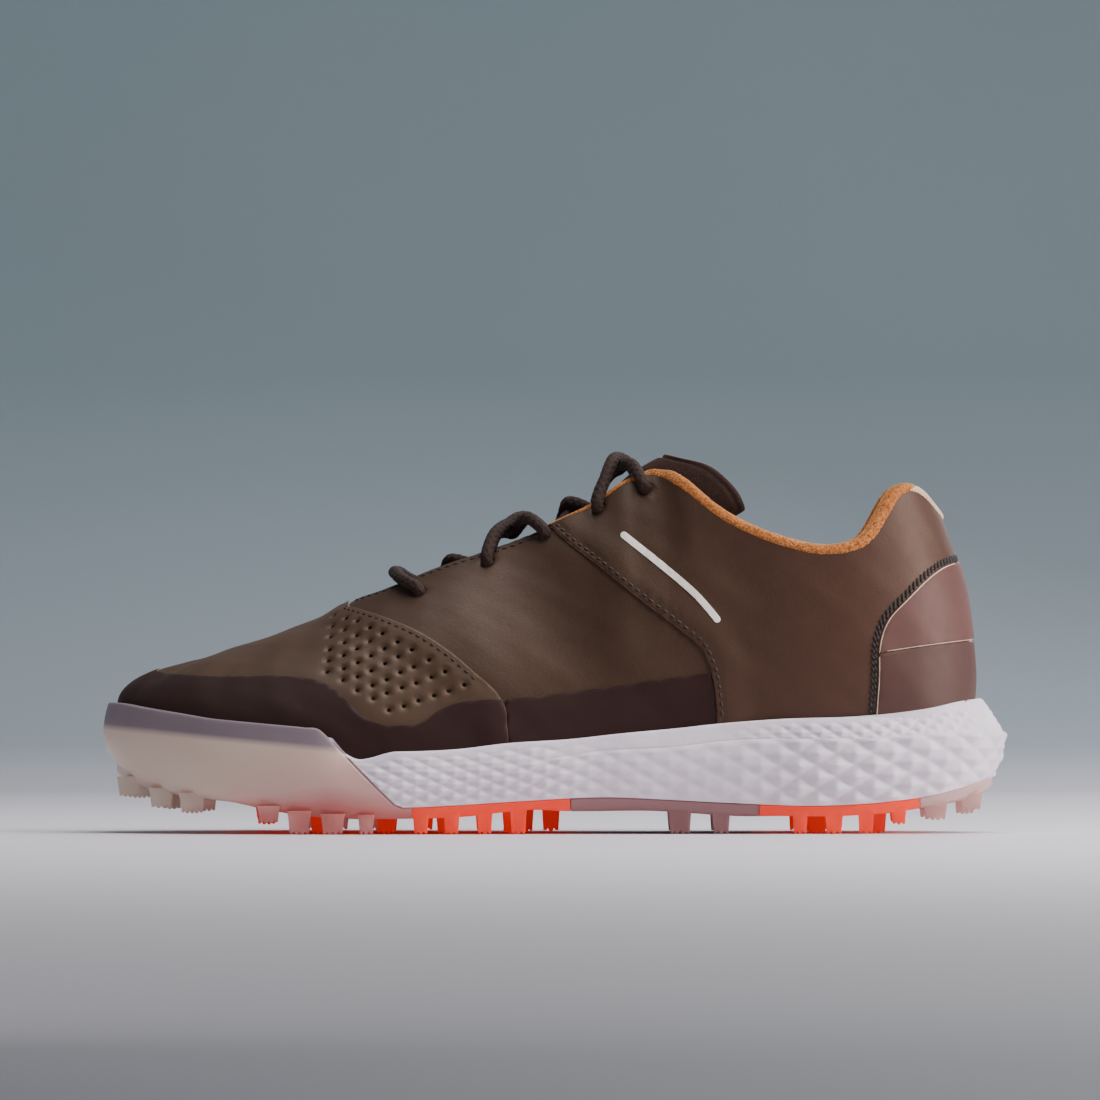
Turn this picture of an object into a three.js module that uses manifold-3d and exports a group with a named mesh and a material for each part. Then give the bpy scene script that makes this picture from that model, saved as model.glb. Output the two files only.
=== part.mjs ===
// Golf shoe, left foot. Millimetres, +Z up, +X towards the heel, -Y the lateral (outer) side.
// Origin: centre of the footprint on the ground (Z = 0).
//
// The upper is a reference surface addressed by station (0 at the toe tip, 1 at the heel) and
// height (0 at the feather line, 1 at the top line). Its layers are offsets of that surface.
import * as THREE from "three";
import { mergeVertices } from "three/addons/utils/BufferGeometryUtils.js";
import Module from "manifold-3d";

const wasm = await Module();
wasm.setup();

// ---------------------------------------------------------------- driving dimensions
const GAP = 0.3; // clearance between neighbouring pieces
const HALF_GAP = GAP / 2;
const LEATHER_T = 1.3;
const FILM_T = 0.8; // moulded guards and overlays, outside the leather
const STIFFENER_T = 1;
const LINING_T = 0.8;
const COLLAR_PAD = 4.3; // extra foam thickness in the padded collar
const BOARD = { thickness: 1.8, inset: 4.2 }; // lasting board
const FOOTBED = { thickness: 5, inset: 5.8 }; // removable, above the board
const WRAP_T = 3; // toe wrap wall of the outsole
const WRAP_SEAM = 0.45; // clearance in X between the toe wrap and the midsole behind it
const CAVITY = { clearance: 1.45, drop: 0.4 }; // room for the upper inside the sole cup
const EYELET_R = 2.9;
const SHANK = { x0: 0, x1: 75, centreY: -3.5, halfWidth: 12, low: -1.9, high: -0.7 };
const SHANK_POCKET = { grow: 0.4, high: 5 };
const LINING_SPLIT_X = 34; // the vamp lining meets the collar lining here
const OPEN_STATION = 2 / 3; // the closed throat ridge ends and the collar begins

// Cutting solids extend this far: X both ways and Z upwards, and Y both ways.
const REACH = 170;
const HALF_SPAN = 90;

const SIDES = ["lateral", "medial"];
const OUTWARD_Y = { lateral: -1, medial: 1 };

// Layer limits, measured outwards from the reference surface.
const layerInside = (outer, thickness) => ({ outer, inner: outer - thickness });
const LEATHER = layerInside(0, LEATHER_T);
const FILM = { outer: GAP + FILM_T, inner: GAP };
const STIFFENER = layerInside(LEATHER.inner - GAP, STIFFENER_T);
const LINING = layerInside(STIFFENER.inner - GAP, LINING_T);

const FINISH = {
  leather: { color: 0x4a3d34, roughness: 0.55 },
  quarter: { color: 0x4a3d34, roughness: 0.52 },
  guard: { color: 0x382a2b, roughness: 0.6 },
  heelUpper: { color: 0x5d4a44, roughness: 0.45 },
  heelLower: { color: 0x5a4b47, roughness: 0.45 },
  stripe: { color: 0xe8e4dc, roughness: 0.5 },
  stiffener: { color: 0xd8d2c4, roughness: 0.8 },
  eyestay: { color: 0x2c2725, roughness: 0.8 },
  lining: { color: 0xb9a48c, roughness: 0.9 },
  collarLining: { color: 0xc88250, roughness: 0.95 },
  binding: { color: 0xe6d2b4, roughness: 0.8 },
  foam: { color: 0xe9e2b8, roughness: 0.95 },
  board: { color: 0xe4e0d6, roughness: 0.9 },
  footbed: { color: 0x3b3634, roughness: 0.9 },
  midsole: { color: 0xf2f0f2, roughness: 0.6 },
  shank: { color: 0x26282b, roughness: 0.5 },
  pod: { color: 0xff5230, roughness: 0.45 },
  outsole: { color: 0xd9cfd2, roughness: 0.3 },
  tongue: { color: 0x3a2e2b, roughness: 0.8 },
  lace: { color: 0x322623, roughness: 0.85 },
  aglet: { color: 0x1d1917, roughness: 0.35 },
};

// ---------------------------------------------------------------- interpolation
// Cubic Hermite curve through rows [x, ...values] with parabolic tangents, straight beyond the
// ends. Returns (x, slope?) => values or their slopes. squareEnds zeroes the first value's end
// tangents, so that a plan outline crosses its toe and heel ends at right angles to X.
function spline(rows, squareEnds = false) {
  const last = rows.length - 1;
  const knots = rows.map((row) => row[0]);
  const values = rows.map((row) => row.slice(1));
  const span = (i) => knots[i + 1] - knots[i];
  const chord = (i, k) => (values[i + 1][k] - values[i][k]) / span(i);
  const endTangent = (end, next, k) =>
    chord(end, k) + (chord(end, k) - chord(next, k)) * span(end) / (span(end) + span(next));
  const tangents = values.map((row, i) => row.map((_, k) => {
    if (i === 0) return endTangent(0, 1, k);
    if (i === last) return endTangent(last - 1, last - 2, k);
    const before = span(i - 1), after = span(i);
    return (after * chord(i - 1, k) + before * chord(i, k)) / (before + after);
  }));
  if (squareEnds) {
    tangents[0][0] = 0;
    tangents[last][0] = 0;
  }
  return (x, slope = false) => {
    if (x < knots[0] || x > knots[last]) {
      const end = x < knots[0] ? 0 : last;
      return values[end].map((value, k) => (
        slope ? tangents[end][k] : value + tangents[end][k] * (x - knots[end])));
    }
    let i = 0;
    while (i < last - 1 && x > knots[i + 1]) i++;
    const h = span(i), u = (x - knots[i]) / h, u2 = u * u, u3 = u2 * u;
    return values[i].map((value, k) => {
      const next = values[i + 1][k], tangent = tangents[i][k], nextTangent = tangents[i + 1][k];
      return slope
        ? ((6 * u2 - 6 * u) * value + (-6 * u2 + 6 * u) * next) / h
          + (3 * u2 - 4 * u + 1) * tangent + (3 * u2 - 2 * u) * nextTangent
        : (2 * u3 - 3 * u2 + 1) * value + (-2 * u3 + 3 * u2) * next
          + (u3 - 2 * u2 + u) * h * tangent + (u3 - u2) * h * nextTangent;
    });
  };
}
function scalarSpline(rows) {
  const curve = spline(rows);
  return (x) => curve(x)[0];
}
function smoothstep(low, high, x) {
  const u = Math.min(1, Math.max(0, (x - low) / (high - low)));
  return u * u * (3 - 2 * u);
}
const range = (from, to, steps) =>
  Array.from({ length: steps + 1 }, (_, k) => from + (to - from) * k / steps);
const shift = (points, dx, dz) => points.map(([x, z]) => [x + dx, z + dz]);
const reversed = (list) => list.slice().reverse();

// ---------------------------------------------------------------- measured curves
// Stations of the plan outline points below.
const KNOTS = [
  0, .05, .10, .155, .21, .27, .33, .39, .455, .53, .605, .68, .75, .815, .87, .92, .96, 1];
const planCurve = (points) => spline(points.map((point, i) => [KNOTS[i], ...point]), true);

// Feather line of the upper in plan [x, y].
const feather = {
  lateral: planCurve([
    [-143, 8.5], [-141, -3], [-135.5, -14.5], [-126.5, -25.5], [-114, -35], [-98, -42],
    [-80, -46.5], [-60, -48], [-38, -46.5], [-12, -42], [14, -37.5], [40, -34.5],
    [66, -33], [90, -32.5], [110, -30.5], [126, -24.5], [135.5, -13.5], [138.5, 0]]),
  medial: planCurve([
    [-143, 8.5], [-141.5, 18], [-136.5, 27], [-128, 34.5], [-115, 41.5], [-98, 46],
    [-80, 47.5], [-60, 46.5], [-38, 42], [-12, 35], [14, 29.5], [40, 28],
    [66, 29.5], [90, 31], [110, 29.5], [126, 24], [135.5, 13.5], [138.5, 0]]),
};
// Outline of the sole in plan [x, y].
const outline = {
  lateral: planCurve([
    [-151.5, 9], [-149.3, -4], [-143.5, -17], [-133, -30], [-119, -41], [-101.5, -49],
    [-82, -53.4], [-61, -54.2], [-38, -52.2], [-12, -48], [14, -44.2], [40, -42],
    [66, -41], [91, -40.4], [112, -37.5], [131, -30], [145.5, -17.5], [151.5, 0]]),
  medial: planCurve([
    [-151.5, 9], [-150, 19.5], [-145, 30], [-135.5, 39], [-121, 47], [-102, 52.2],
    [-82, 54.2], [-61, 53], [-38, 48.2], [-12, 41], [14, 36], [40, 35],
    [66, 37.2], [91, 39], [112, 37], [131, 30], [145.5, 17.5], [151.5, 0]]),
};
// Throat ridge up to OPEN_STATION [station, x, y, z].
const RIDGE = [
  [0, -120, 7.2, 57.9], [.05, -118, 7.1, 58.4], [.10, -112.5, 6.9, 60.4],
  [.155, -104.5, 6.6, 63.2], [.21, -95.5, 6.2, 65.9], [.27, -85.5, 5.6, 69.6],
  [.33, -74, 5, 74.4], [.39, -60, 4.2, 81.5], [.455, -41, 3.2, 91], [.53, -16, 2, 103],
  [.595, 7, .9, 114.2], [.64, 23.5, .2, 121.8], [OPEN_STATION, 30, 0, 124.2]];
// Lateral collar edge behind it [station, x, y, z]. The medial edge mirrors it.
const COLLAR = [
  [OPEN_STATION, 30, 0, 124.2], [.672, 34, -5.5, 124.6], [.684, 37, -11.5, 123.4],
  [.696, 40, -17, 120.6], [.71, 44, -21, 117.4], [.725, 49, -23.6, 113],
  [.74, 55, -25.6, 108.4], [.755, 61, -27.2, 104.6], [.77, 67.5, -28.7, 101.5],
  [.787, 75, -30.2, 99], [.804, 83, -31.2, 97.1], [.821, 91, -31.6, 96.1],
  [.838, 98, -31.2, 96.9], [.853, 103, -30, 99.5], [.867, 107, -28.3, 104.2],
  [.882, 111, -25.8, 109.9], [.9, 115, -22.6, 114.8], [.92, 119, -18.8, 116.6],
  [.945, 123, -14, 115.4], [.972, 127, -7.8, 111.4], [1, 129, 0, 109.2]];
// Bezier handles of each cross section:
// [station, out and up at the feather line, out and down at the top line].
const HANDLES = [
  [0, 9, 13.5, 23, 0], [.1, 8.5, 14, 22, 0], [.21, 7, 17, 24, 0], [.33, 6, 21, 27, 0],
  [.455, 5, 26, 25, 0], [.53, 4, 30, 21, 0], [.595, 3.5, 34, 20, 0], [.66, 3.5, 36, 22, 0],
  [.696, 3.5, 34, 9, 14], [.74, 4, 28, 4.5, 22], [.804, 5, 22, 2, 22],
  [.867, 5.5, 22, 2.5, 24], [.92, 5, 24, 5, 28], [1, 6.5, 23, 8.5, 19.2]];

// Heights along the shoe [x, z]: underside of the lasting board, underside of the outsole plate,
// and bite line, the top edge of the sole.
const boardZ = scalarSpline([
  [-151, 36], [-143, 33.5], [-130, 29.5], [-115, 26], [-100, 23.2], [-80, 21], [-60, 20],
  [-40, 20.2], [-12, 22], [14, 24.6], [40, 27.4], [66, 29.6], [90, 31], [115, 32.2], [140, 33]]);
const plateZ = scalarSpline([
  [-152, 24], [-146, 19.6], [-136.8, 15.3], [-128, 13.2], [-115.4, 11.5], [-106.2, 10.4],
  [-98, 8.6], [-88.7, 6.9], [-67.3, 5.1], [-56.4, 5.1], [-36.4, 5.4], [-27.7, 5.9],
  [-16.5, 7.2], [-7.7, 8], [4.5, 7.6], [38.4, 7.4], [46.6, 6.8], [60.7, 5.9], [75.8, 5.9],
  [97, 5.9], [107, 6.5], [112.2, 6.8], [118, 7.7], [131.4, 9.9], [136, 10.8], [149, 17.5]]);
const biteZ = scalarSpline([
  [-151.5, 43.6], [-147, 43.3], [-139, 42], [-127.3, 40.2], [-115.5, 38.4], [-103.8, 37.3],
  [-92.3, 36.3], [-83.7, 35.5], [-77.8, 34.6], [-74.9, 32], [-71.2, 27.8], [-51.7, 27.5],
  [-31.6, 28.3], [-15.5, 30.2], [5.7, 31.6], [22.2, 33.4], [42.3, 35.3], [52.1, 36.4],
  [76.6, 38.3], [101.1, 39.1], [128, 41.8], [141.5, 44], [151.5, 45]]);
// Y of the ridge line at a given x [x, y].
const ridgeY = scalarSpline([
  [-160, 8], [-120, 7.2], [-95.5, 6.2], [-74, 5], [-41, 3.2], [-16, 2], [7, .9], [30, 0],
  [160, 0]]);

// Side-view lines of the sole [x, z].
const MIDSOLE_UNDERSIDE = [
  [-150, 28.4], [-146, 23.8], [-136.8, 19.3], [-115.4, 15.5], [-98, 12.6], [-88.7, 10.9],
  [-67.3, 9.1], [-50.2, 8.9], [-33.3, 9.6], [-12, 10.9], [19.8, 12.2], [35.6, 11.5],
  [58.8, 10.3], [89.4, 9.4], [112.9, 10.8], [128.2, 12.9], [135.9, 14.8], [149, 19.5],
  [156, 24]];
const FOAM_TOP = [[-160, 38.5], [-151, 37], [-121, 31.8], [-92, 29.4], [-60, 27]];
const WRAP_EDGE = [
  [-77.8, 60], [-77.8, 34.6], [-74.9, 32], [-71.2, 27.9], [-65.2, 21.5], [-58.1, 14.4],
  [-53.1, 9.7]];

// Side-view seams and outlines of the upper [x, z], used on both sides of the shoe.
const SEAM_VAMP = [
  [-68.5, 75.3], [-56.8, 71.9], [-45, 66.9], [-34.9, 60.5], [-24.9, 52.1], [-19.8, 47.7],
  [-16.5, 42.7], [-15.5, 30.9], [-15, 10]];
const SEAM_QUARTER = [
  [-3, 104.8], [2, 99.8], [15.5, 89], [28.9, 78], [42.3, 67.9], [49.1, 61.8], [52.1, 55.1],
  [53.8, 46], [54.4, 37], [55, 10]];
const TOE_GUARD = [
  [-160, 56], [-139, 55.1], [-134.1, 53.8], [-122.3, 52.4], [-88.7, 52.1], [-78.6, 50.7],
  [-73.6, 48.4], [-68.5, 43.7], [-63.5, 39], [-58.5, 36.6], [-50, 36], [-43.3, 37],
  [-38.3, 41], [-33.3, 43], [-18.1, 44.4], [-16.1, 44.3], [-15.6, 10], [-160, 10]];
const SIDE_GUARD = [
  [-14.9, 44.8], [2, 46.7], [22.2, 49.4], [39, 51.7], [50.7, 53.4], [51.9, 50], [53.2, 46],
  [53.8, 10], [-14.9, 10]];
const HEEL_OVERLAY = [
  [160, 95], [137, 89.7], [128, 87.4], [117.9, 78], [111.2, 70.6], [108.9, 64.5],
  [108.2, 51.1], [107.5, 40.3], [107, 10], [160, 10]];
const HEEL_SPLIT = [[100, 59], [110.5, 60.5], [140.4, 64.5], [160, 67]];
const LEATHER_EDGE = [
  [26, 140], [31, 124], [32.3, 120], [39.6, 118.3], [45.7, 113.9], [52.4, 108.2],
  [59.1, 103.8], [66.5, 100.1], [74.6, 97.1], [82.7, 94.8], [90.7, 93.7], [98.8, 94.8],
  [103.5, 96.4], [106.8, 98.8], [110.9, 104.8], [113.9, 110.2], [115.9, 113.2],
  [118.6, 114.9], [123, 113.9], [127, 110.5], [129, 108.2], [160, 108]];
// Slim bar on the lateral quarter, along the quarter seam.
const STRIPE = [
  [22, 100.5], [24.6, 100.5], [49.5, 80.4], [57.6, 70.4], [55.2, 70.4], [47.8, 79.2]];
const HEEL_COUNTER = [[88, 0], [86, 60], [92, 73], [160, 73], [160, 0]];
const EYESTAY = [[-62, 79], [-62, 66], [0, 88], [33.6, 100], [33.6, 170], [-62, 170]];
const COLLAR_FOAM = [[34, 96], [60, 82], [85, 74.6], [160, 74.6], [160, 170], [34, 170]];
// Throat opening [x, half width about the ridge line].
const THROAT = [
  [-67, 0.5], [-64, 5], [-58, 8.5], [-45, 10.5], [-20, 12], [5, 13.5], [30, 16], [44, 18],
  [60, 18]];
// Eyelets on the lateral side view, toe to heel [x, z]. The medial row shares their stations.
const EYELETS = [[-45, 80.6], [-22.5, 91.4], [-3, 100.5], [14.8, 108.9], [30.6, 115.3]];

// ---------------------------------------------------------------- reference surface
const ridge = spline(RIDGE);
const ridgeProfile = spline(RIDGE.map(([, x, , z]) => [x, z]));
const collar = spline(COLLAR);
const handles = spline(HANDLES);

// Outward unit normal of a plan curve.
function planNormal(curves, side, station) {
  const [dx, dy] = curves[side](station, true);
  const length = Math.hypot(dx, dy), outward = OUTWARD_Y[side];
  return [-outward * dy / length, outward * dx / length];
}

function surfacePoint(side, station, height) {
  const [footX, footY] = feather[side](station);
  const [normalX, normalY] = planNormal(feather, side, station);
  const [footOut, footUp, topOut, topDown] = handles(station);
  const open = station > OPEN_STATION + 1e-9;
  const [topX, edgeY, topZ] = (open ? collar : ridge)(station);
  const topY = open && side === "medial" ? -edgeY : edgeY;
  // Keeps the crown level across the closed ridge.
  const lift = open ? 0 : ridgeProfile(topX, true)[0] * normalX * topOut;
  const footZ = boardZ(footX);
  const controls = [
    [footX, footY, footZ],
    [footX + normalX * footOut, footY + normalY * footOut, footZ + footUp],
    [topX + normalX * topOut, topY + normalY * topOut, topZ - topDown + lift],
    [topX, topY, topZ],
  ];
  const t = height, u = 1 - t;
  const weights = [u * u * u, 3 * u * u * t, 3 * u * t * t, t * t * t];
  return new THREE.Vector3(...[0, 1, 2].map((axis) =>
    controls.reduce((sum, control, i) => sum + control[axis] * weights[i], 0)));
}

const STATIONS = [
  0, .035, .08, .13, .19, .25, .32, .39, .46, .53, .6, OPEN_STATION,
  .69, .715, .745, .78, .82, .85, .88, .91, .94, .97, 1];
const HEIGHTS = [0, .15, .31, .47, .62, .76, .88, 1];
const LAST_STATION = STATIONS.length - 1, TOP = HEIGHTS.length - 1;
const OPEN_INDEX = STATIONS.indexOf(OPEN_STATION);

// Both sides share their nodes at the toe, at the heel and along the closed ridge.
const isShared = (i, j) =>
  i === 0 || i === LAST_STATION || (j === TOP && i <= OPEN_INDEX);
const grid = {};
for (const side of SIDES) {
  grid[side] = STATIONS.map((station, i) => HEIGHTS.map((height, j) => (
    side === "medial" && isShared(i, j) ? grid.lateral[i][j] : {
      point: surfacePoint(side, station, height), normal: new THREE.Vector3(), station, height,
    })));
}
function eachCell(visit) {
  for (const side of SIDES)
    for (let i = 0; i < LAST_STATION; i++)
      for (let j = 0; j < TOP; j++) visit(side, i, j);
}
const cellCorners = (pick, side, i, j) =>
  [pick(side, i, j), pick(side, i + 1, j), pick(side, i + 1, j + 1), pick(side, i, j + 1)];

// Node normals: the sum of the adjoining cell normals, made unit length.
eachCell((side, i, j) => {
  const nodes = cellCorners((s, m, n) => grid[s][m][n], side, i, j);
  const diagonal = (from, to) =>
    new THREE.Vector3().subVectors(nodes[to].point, nodes[from].point);
  const normal = diagonal(0, 2).cross(diagonal(1, 3));
  if (side === "medial") normal.negate();
  nodes.forEach((node) => node.normal.add(normal));
});
for (const side of SIDES) grid[side].flat().forEach((node) => node.normal.normalize());

// ---------------------------------------------------------------- solids
class SolidBuilder {
  constructor() {
    this.coordinates = [];
    this.triangles = [];
    this.indexOf = new Map();
  }
  vertex({ x, y, z }) {
    const key = `${x.toFixed(4)},${y.toFixed(4)},${z.toFixed(4)}`;
    if (!this.indexOf.has(key)) {
      this.indexOf.set(key, this.coordinates.length / 3);
      this.coordinates.push(x, y, z);
    }
    return this.indexOf.get(key);
  }
  triangle(...corners) {
    const [a, b, c] = corners.map((corner) => this.vertex(corner));
    if (a !== b && b !== c && a !== c) this.triangles.push(a, b, c);
  }
  // Flipping reverses the winding but keeps the diagonal.
  quad([a, b, c, d], flipped = false) {
    if (flipped) [b, d] = [d, b];
    this.triangle(a, b, c);
    this.triangle(a, c, d);
  }
  solid() {
    return solidFrom(this.coordinates, this.triangles);
  }
}
function solidFrom(coordinates, triangles) {
  return new wasm.Manifold(new wasm.Mesh({
    numProp: 3,
    vertProperties: new Float32Array(coordinates),
    triVerts: new Uint32Array(triangles),
  }));
}
function fromGeometry(geometry) {
  geometry.deleteAttribute("normal");
  geometry.deleteAttribute("uv");
  const merged = mergeVertices(geometry, 1e-4);
  return solidFrom(merged.attributes.position.array, merged.index.array);
}

// Grid node moved out by a distance, or by a function of the node.
const offsetPoint = (node, distance) => node.point.clone()
  .addScaledVector(node.normal, typeof distance === "function" ? distance(node) : distance);

// Layer of the upper between two offsets, open at the bottom and at the collar.
function shell({ outer, inner }) {
  const builder = new SolidBuilder();
  const outerAt = (side, i, j) => offsetPoint(grid[side][i][j], outer);
  const innerAt = (side, i, j) => offsetPoint(grid[side][i][j], inner);
  eachCell((side, i, j) => {
    builder.quad(cellCorners(outerAt, side, i, j), side === "medial");
    builder.quad(cellCorners(innerAt, side, i, j), side === "lateral");
  });
  const edge = (side, from, to, j) => builder.quad([
    outerAt(side, from, j), outerAt(side, to, j), innerAt(side, to, j), innerAt(side, from, j)]);
  for (let i = 0; i < LAST_STATION; i++) {
    edge("lateral", i + 1, i, 0);
    edge("medial", i, i + 1, 0);
    if (i >= OPEN_INDEX) {
      edge("lateral", i, i + 1, TOP);
      edge("medial", i + 1, i, TOP);
    }
  }
  return builder.solid();
}
// Joins the lateral and medial edges of a closed volume with one quad.
const bridge = (builder, pointAt, from, to, level) => builder.quad([
  pointAt("lateral", from, level), pointAt("lateral", to, level),
  pointAt("medial", to, level), pointAt("medial", from, level)]);

// Whole volume inside one offset, closed at the collar and at `drop` below the board.
function plug(offset, drop) {
  const builder = new SolidBuilder();
  const pointAt = (side, i, j) => {
    const node = grid[side][i][j], point = offsetPoint(node, offset);
    if (j === 0) point.z = boardZ(node.point.x) - drop;
    return point;
  };
  eachCell((side, i, j) =>
    builder.quad(cellCorners(pointAt, side, i, j), side === "medial"));
  for (let i = 0; i < LAST_STATION; i++) {
    bridge(builder, pointAt, i + 1, i, 0);
    if (i >= OPEN_INDEX) bridge(builder, pointAt, i, i + 1, TOP);
  }
  return builder.solid();
}
// Solid stacked from rings { inset(x), z(x) } of a plan outline, bottom to top.
function loft(curves, stations, rings) {
  const builder = new SolidBuilder();
  const pointAt = (side, station, ring) => {
    const [x, y] = curves[side](station);
    const [normalX, normalY] = planNormal(curves, side, station);
    const inset = ring.inset(x);
    return new THREE.Vector3(x - normalX * inset, y - normalY * inset, ring.z(x));
  };
  for (let i = 0; i < stations.length - 1; i++) {
    const from = stations[i], to = stations[i + 1];
    for (const side of SIDES)
      for (let k = 0; k < rings.length - 1; k++) {
        const low = rings[k], high = rings[k + 1];
        builder.quad([
          pointAt(side, from, low), pointAt(side, to, low),
          pointAt(side, to, high), pointAt(side, from, high)], side === "medial");
      }
    bridge(builder, pointAt, to, from, rings[0]);
    bridge(builder, pointAt, from, to, rings.at(-1));
  }
  return builder.solid();
}
const extrusion = (points, depth) => new THREE.ExtrudeGeometry(
  new THREE.Shape(points.map(([x, y]) => new THREE.Vector2(x, y))),
  { depth, bevelEnabled: false });
// Side-view polygon carried across the whole width.
const prismXZ = (points) => fromGeometry(
  extrusion(points, 2 * HALF_SPAN).rotateX(Math.PI / 2).translate(0, HALF_SPAN, 0));
// Plan polygon between two heights.
const prismXY = (points, z0, z1) => fromGeometry(extrusion(points, z1 - z0).translate(0, 0, z0));
// Block of full height above the ground.
const block = (x0, x1, y0 = -HALF_SPAN, y1 = HALF_SPAN) => fromGeometry(
  new THREE.BoxGeometry(x1 - x0, y1 - y0, REACH)
    .translate((x0 + x1) / 2, (y0 + y1) / 2, REACH / 2));
const intersect = (...solids) => solids.reduce((a, b) => a.intersect(b));
// Turns a geometry built along +Y to a direction and moves it to a place.
const aim = (geometry, direction, place) => geometry
  .applyQuaternion(
    new THREE.Quaternion().setFromUnitVectors(new THREE.Vector3(0, 1, 0), direction))
  .translate(place.x, place.y, place.z);

const group = new THREE.Group();
// Adds the largest body of a cut, without crumbs.
function add(name, solid, finish) {
  const largest = solid.decompose().sort((a, b) => b.volume() - a.volume())[0].getMesh();
  const geometry = new THREE.BufferGeometry();
  const positions = new Float32Array(largest.vertProperties);
  geometry.setAttribute("position", new THREE.BufferAttribute(positions, 3));
  geometry.setIndex(new THREE.BufferAttribute(new Uint32Array(largest.triVerts), 1));
  geometry.computeVertexNormals();
  const mesh = new THREE.Mesh(geometry, new THREE.MeshStandardMaterial(finish));
  mesh.name = name;
  group.add(mesh);
}

// ---------------------------------------------------------------- cutting tools of the upper
function throat(grow) {
  const edge = (sign) => THROAT.map(([x, halfWidth]) =>
    [x - (x < -60 ? grow : 0), ridgeY(x) + sign * (halfWidth + grow)]);
  return prismXY([...edge(-1), ...edge(1).reverse()], 60, 160);
}
const throatCut = throat(0);
const belowLeatherEdge = (drop) =>
  prismXZ([...shift(LEATHER_EDGE, 0, -drop), [160, 0], [-REACH, 0], [-REACH, REACH]]);
const aboveLeatherEdge = prismXZ([...LEATHER_EDGE, [160, REACH], [26, REACH]]);
// Everything between a seam moved by dx and the given far X.
const besideSeam = (seam, dx, farX) => prismXZ([
  [farX, REACH], ...shift([[seam[0][0], REACH], ...seam], dx, 0),
  [seam.at(-1)[0] + dx, 0], [farX, 0]]);
const behindSeam = (seam) => besideSeam(seam, HALF_GAP, REACH);
const inFrontOfSeam = (seam) => besideSeam(seam, -HALF_GAP, -REACH);
const half = {
  lateral: block(-REACH, REACH, -HALF_SPAN, -HALF_GAP),
  medial: block(-REACH, REACH, HALF_GAP, HALF_SPAN),
};

// Nearest [station, height] to a side-view point of the lateral side.
function locate(x, z) {
  let nearest, least = Infinity;
  for (let i = 0; i <= 400; i++)
    for (let j = 40; j <= 100; j++) {
      const station = .35 + i / 400 * .36, height = j / 100;
      const point = surfacePoint("lateral", station, height);
      const distance = (point.x - x) ** 2 + (point.z - z) ** 2;
      if (distance < least) {
        least = distance;
        nearest = [station, height];
      }
    }
  return nearest;
}
// Point of the surface and its outward normal.
function frameAt(side, station, height) {
  const step = 1e-3, below = Math.min(height, 1 - step);
  const point = surfacePoint(side, station, height);
  const along = surfacePoint(side, station + step, below)
    .sub(surfacePoint(side, station - step, below));
  const up = surfacePoint(side, station, below + step)
    .sub(surfacePoint(side, station, below - step));
  const normal = along.cross(up).normalize();
  if (side === "medial") normal.negate();
  return { point, normal };
}
const eyelets = EYELETS.map(([x, z]) => locate(x, z));
function eyeletDrill(side, [station, height]) {
  const { point, normal } = frameAt(side, station, height);
  const centre = point.clone().addScaledVector(normal, -1);
  return fromGeometry(
    aim(new THREE.CylinderGeometry(EYELET_R, EYELET_R, 14, 10), normal, centre));
}
const drills = Object.fromEntries(
  SIDES.map((side) => [side, eyelets.map((eyelet) => eyeletDrill(side, eyelet))]));
const punch = (solid, side) => drills[side].reduce((rest, drill) => rest.subtract(drill), solid);

// Splits a solid along the centre plane into a lateral and a medial piece.
function addPair(name, solid, finish, { punched = false } = {}) {
  for (const side of SIDES) {
    const piece = intersect(solid, half[side]);
    add(`${name}_${side}`, punched ? punch(piece, side) : piece, finish);
  }
}

// ---------------------------------------------------------------- leather
const leather = shell(LEATHER).subtract(throatCut);

// One piece over the toe, in front of the vamp seam.
add("toe_vamp", intersect(leather, prismXZ([
  [-REACH, REACH], [-69, REACH], [-69, 75.6], ...shift(SEAM_VAMP, -HALF_GAP, 0),
  [-15 - HALF_GAP, 0], [-REACH, 0]])), FINISH.leather);

const betweenSeams = intersect(behindSeam(SEAM_VAMP), inFrontOfSeam(SEAM_QUARTER));
addPair("side_panel", intersect(leather, betweenSeams), FINISH.leather, { punched: true });

addPair("quarter", intersect(leather, behindSeam(SEAM_QUARTER), belowLeatherEdge(HALF_GAP)),
  FINISH.quarter, { punched: true });

// ---------------------------------------------------------------- guards and overlays
const film = shell(FILM);
add("toe_guard", intersect(film, prismXZ(TOE_GUARD)), FINISH.guard);
addPair("side_guard", intersect(film, prismXZ(SIDE_GUARD)), FINISH.guard);

// Heel overlay, split by a nearly level seam.
const heelFilm = intersect(film, prismXZ(HEEL_OVERLAY));
const heelPart = (dz, farZ) => intersect(
  heelFilm, prismXZ([...shift(HEEL_SPLIT, 0, dz), [160, farZ], [100, farZ]]));
add("heel_overlay_upper", heelPart(HALF_GAP, REACH), FINISH.heelUpper);
add("heel_overlay_lower", heelPart(-HALF_GAP, 0), FINISH.heelLower);

add("side_stripe_lateral", intersect(film, prismXZ(STRIPE), half.lateral), FINISH.stripe);

// ---------------------------------------------------------------- stiffeners
const stiffener = shell(STIFFENER);
add("toe_puff", intersect(stiffener, block(-REACH, -105)), FINISH.stiffener);
add("heel_counter", intersect(stiffener, prismXZ(HEEL_COUNTER)), FINISH.stiffener);
addPair("eyestay_reinforcement",
  intersect(stiffener, prismXZ(EYESTAY)).subtract(throat(0.2)), FINISH.eyestay,
  { punched: true });

// ---------------------------------------------------------------- lining and padded collar
// Offset pushed inwards by the collar padding: it fades in upwards and towards the heel, and
// thins again near the top line.
const padded = (offset) => ({ station, height }) => offset - COLLAR_PAD
  * (smoothstep(.45, .75, height) * smoothstep(.69, .75, station)
    * (1 - .5 * smoothstep(.85, 1, height)));

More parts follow.
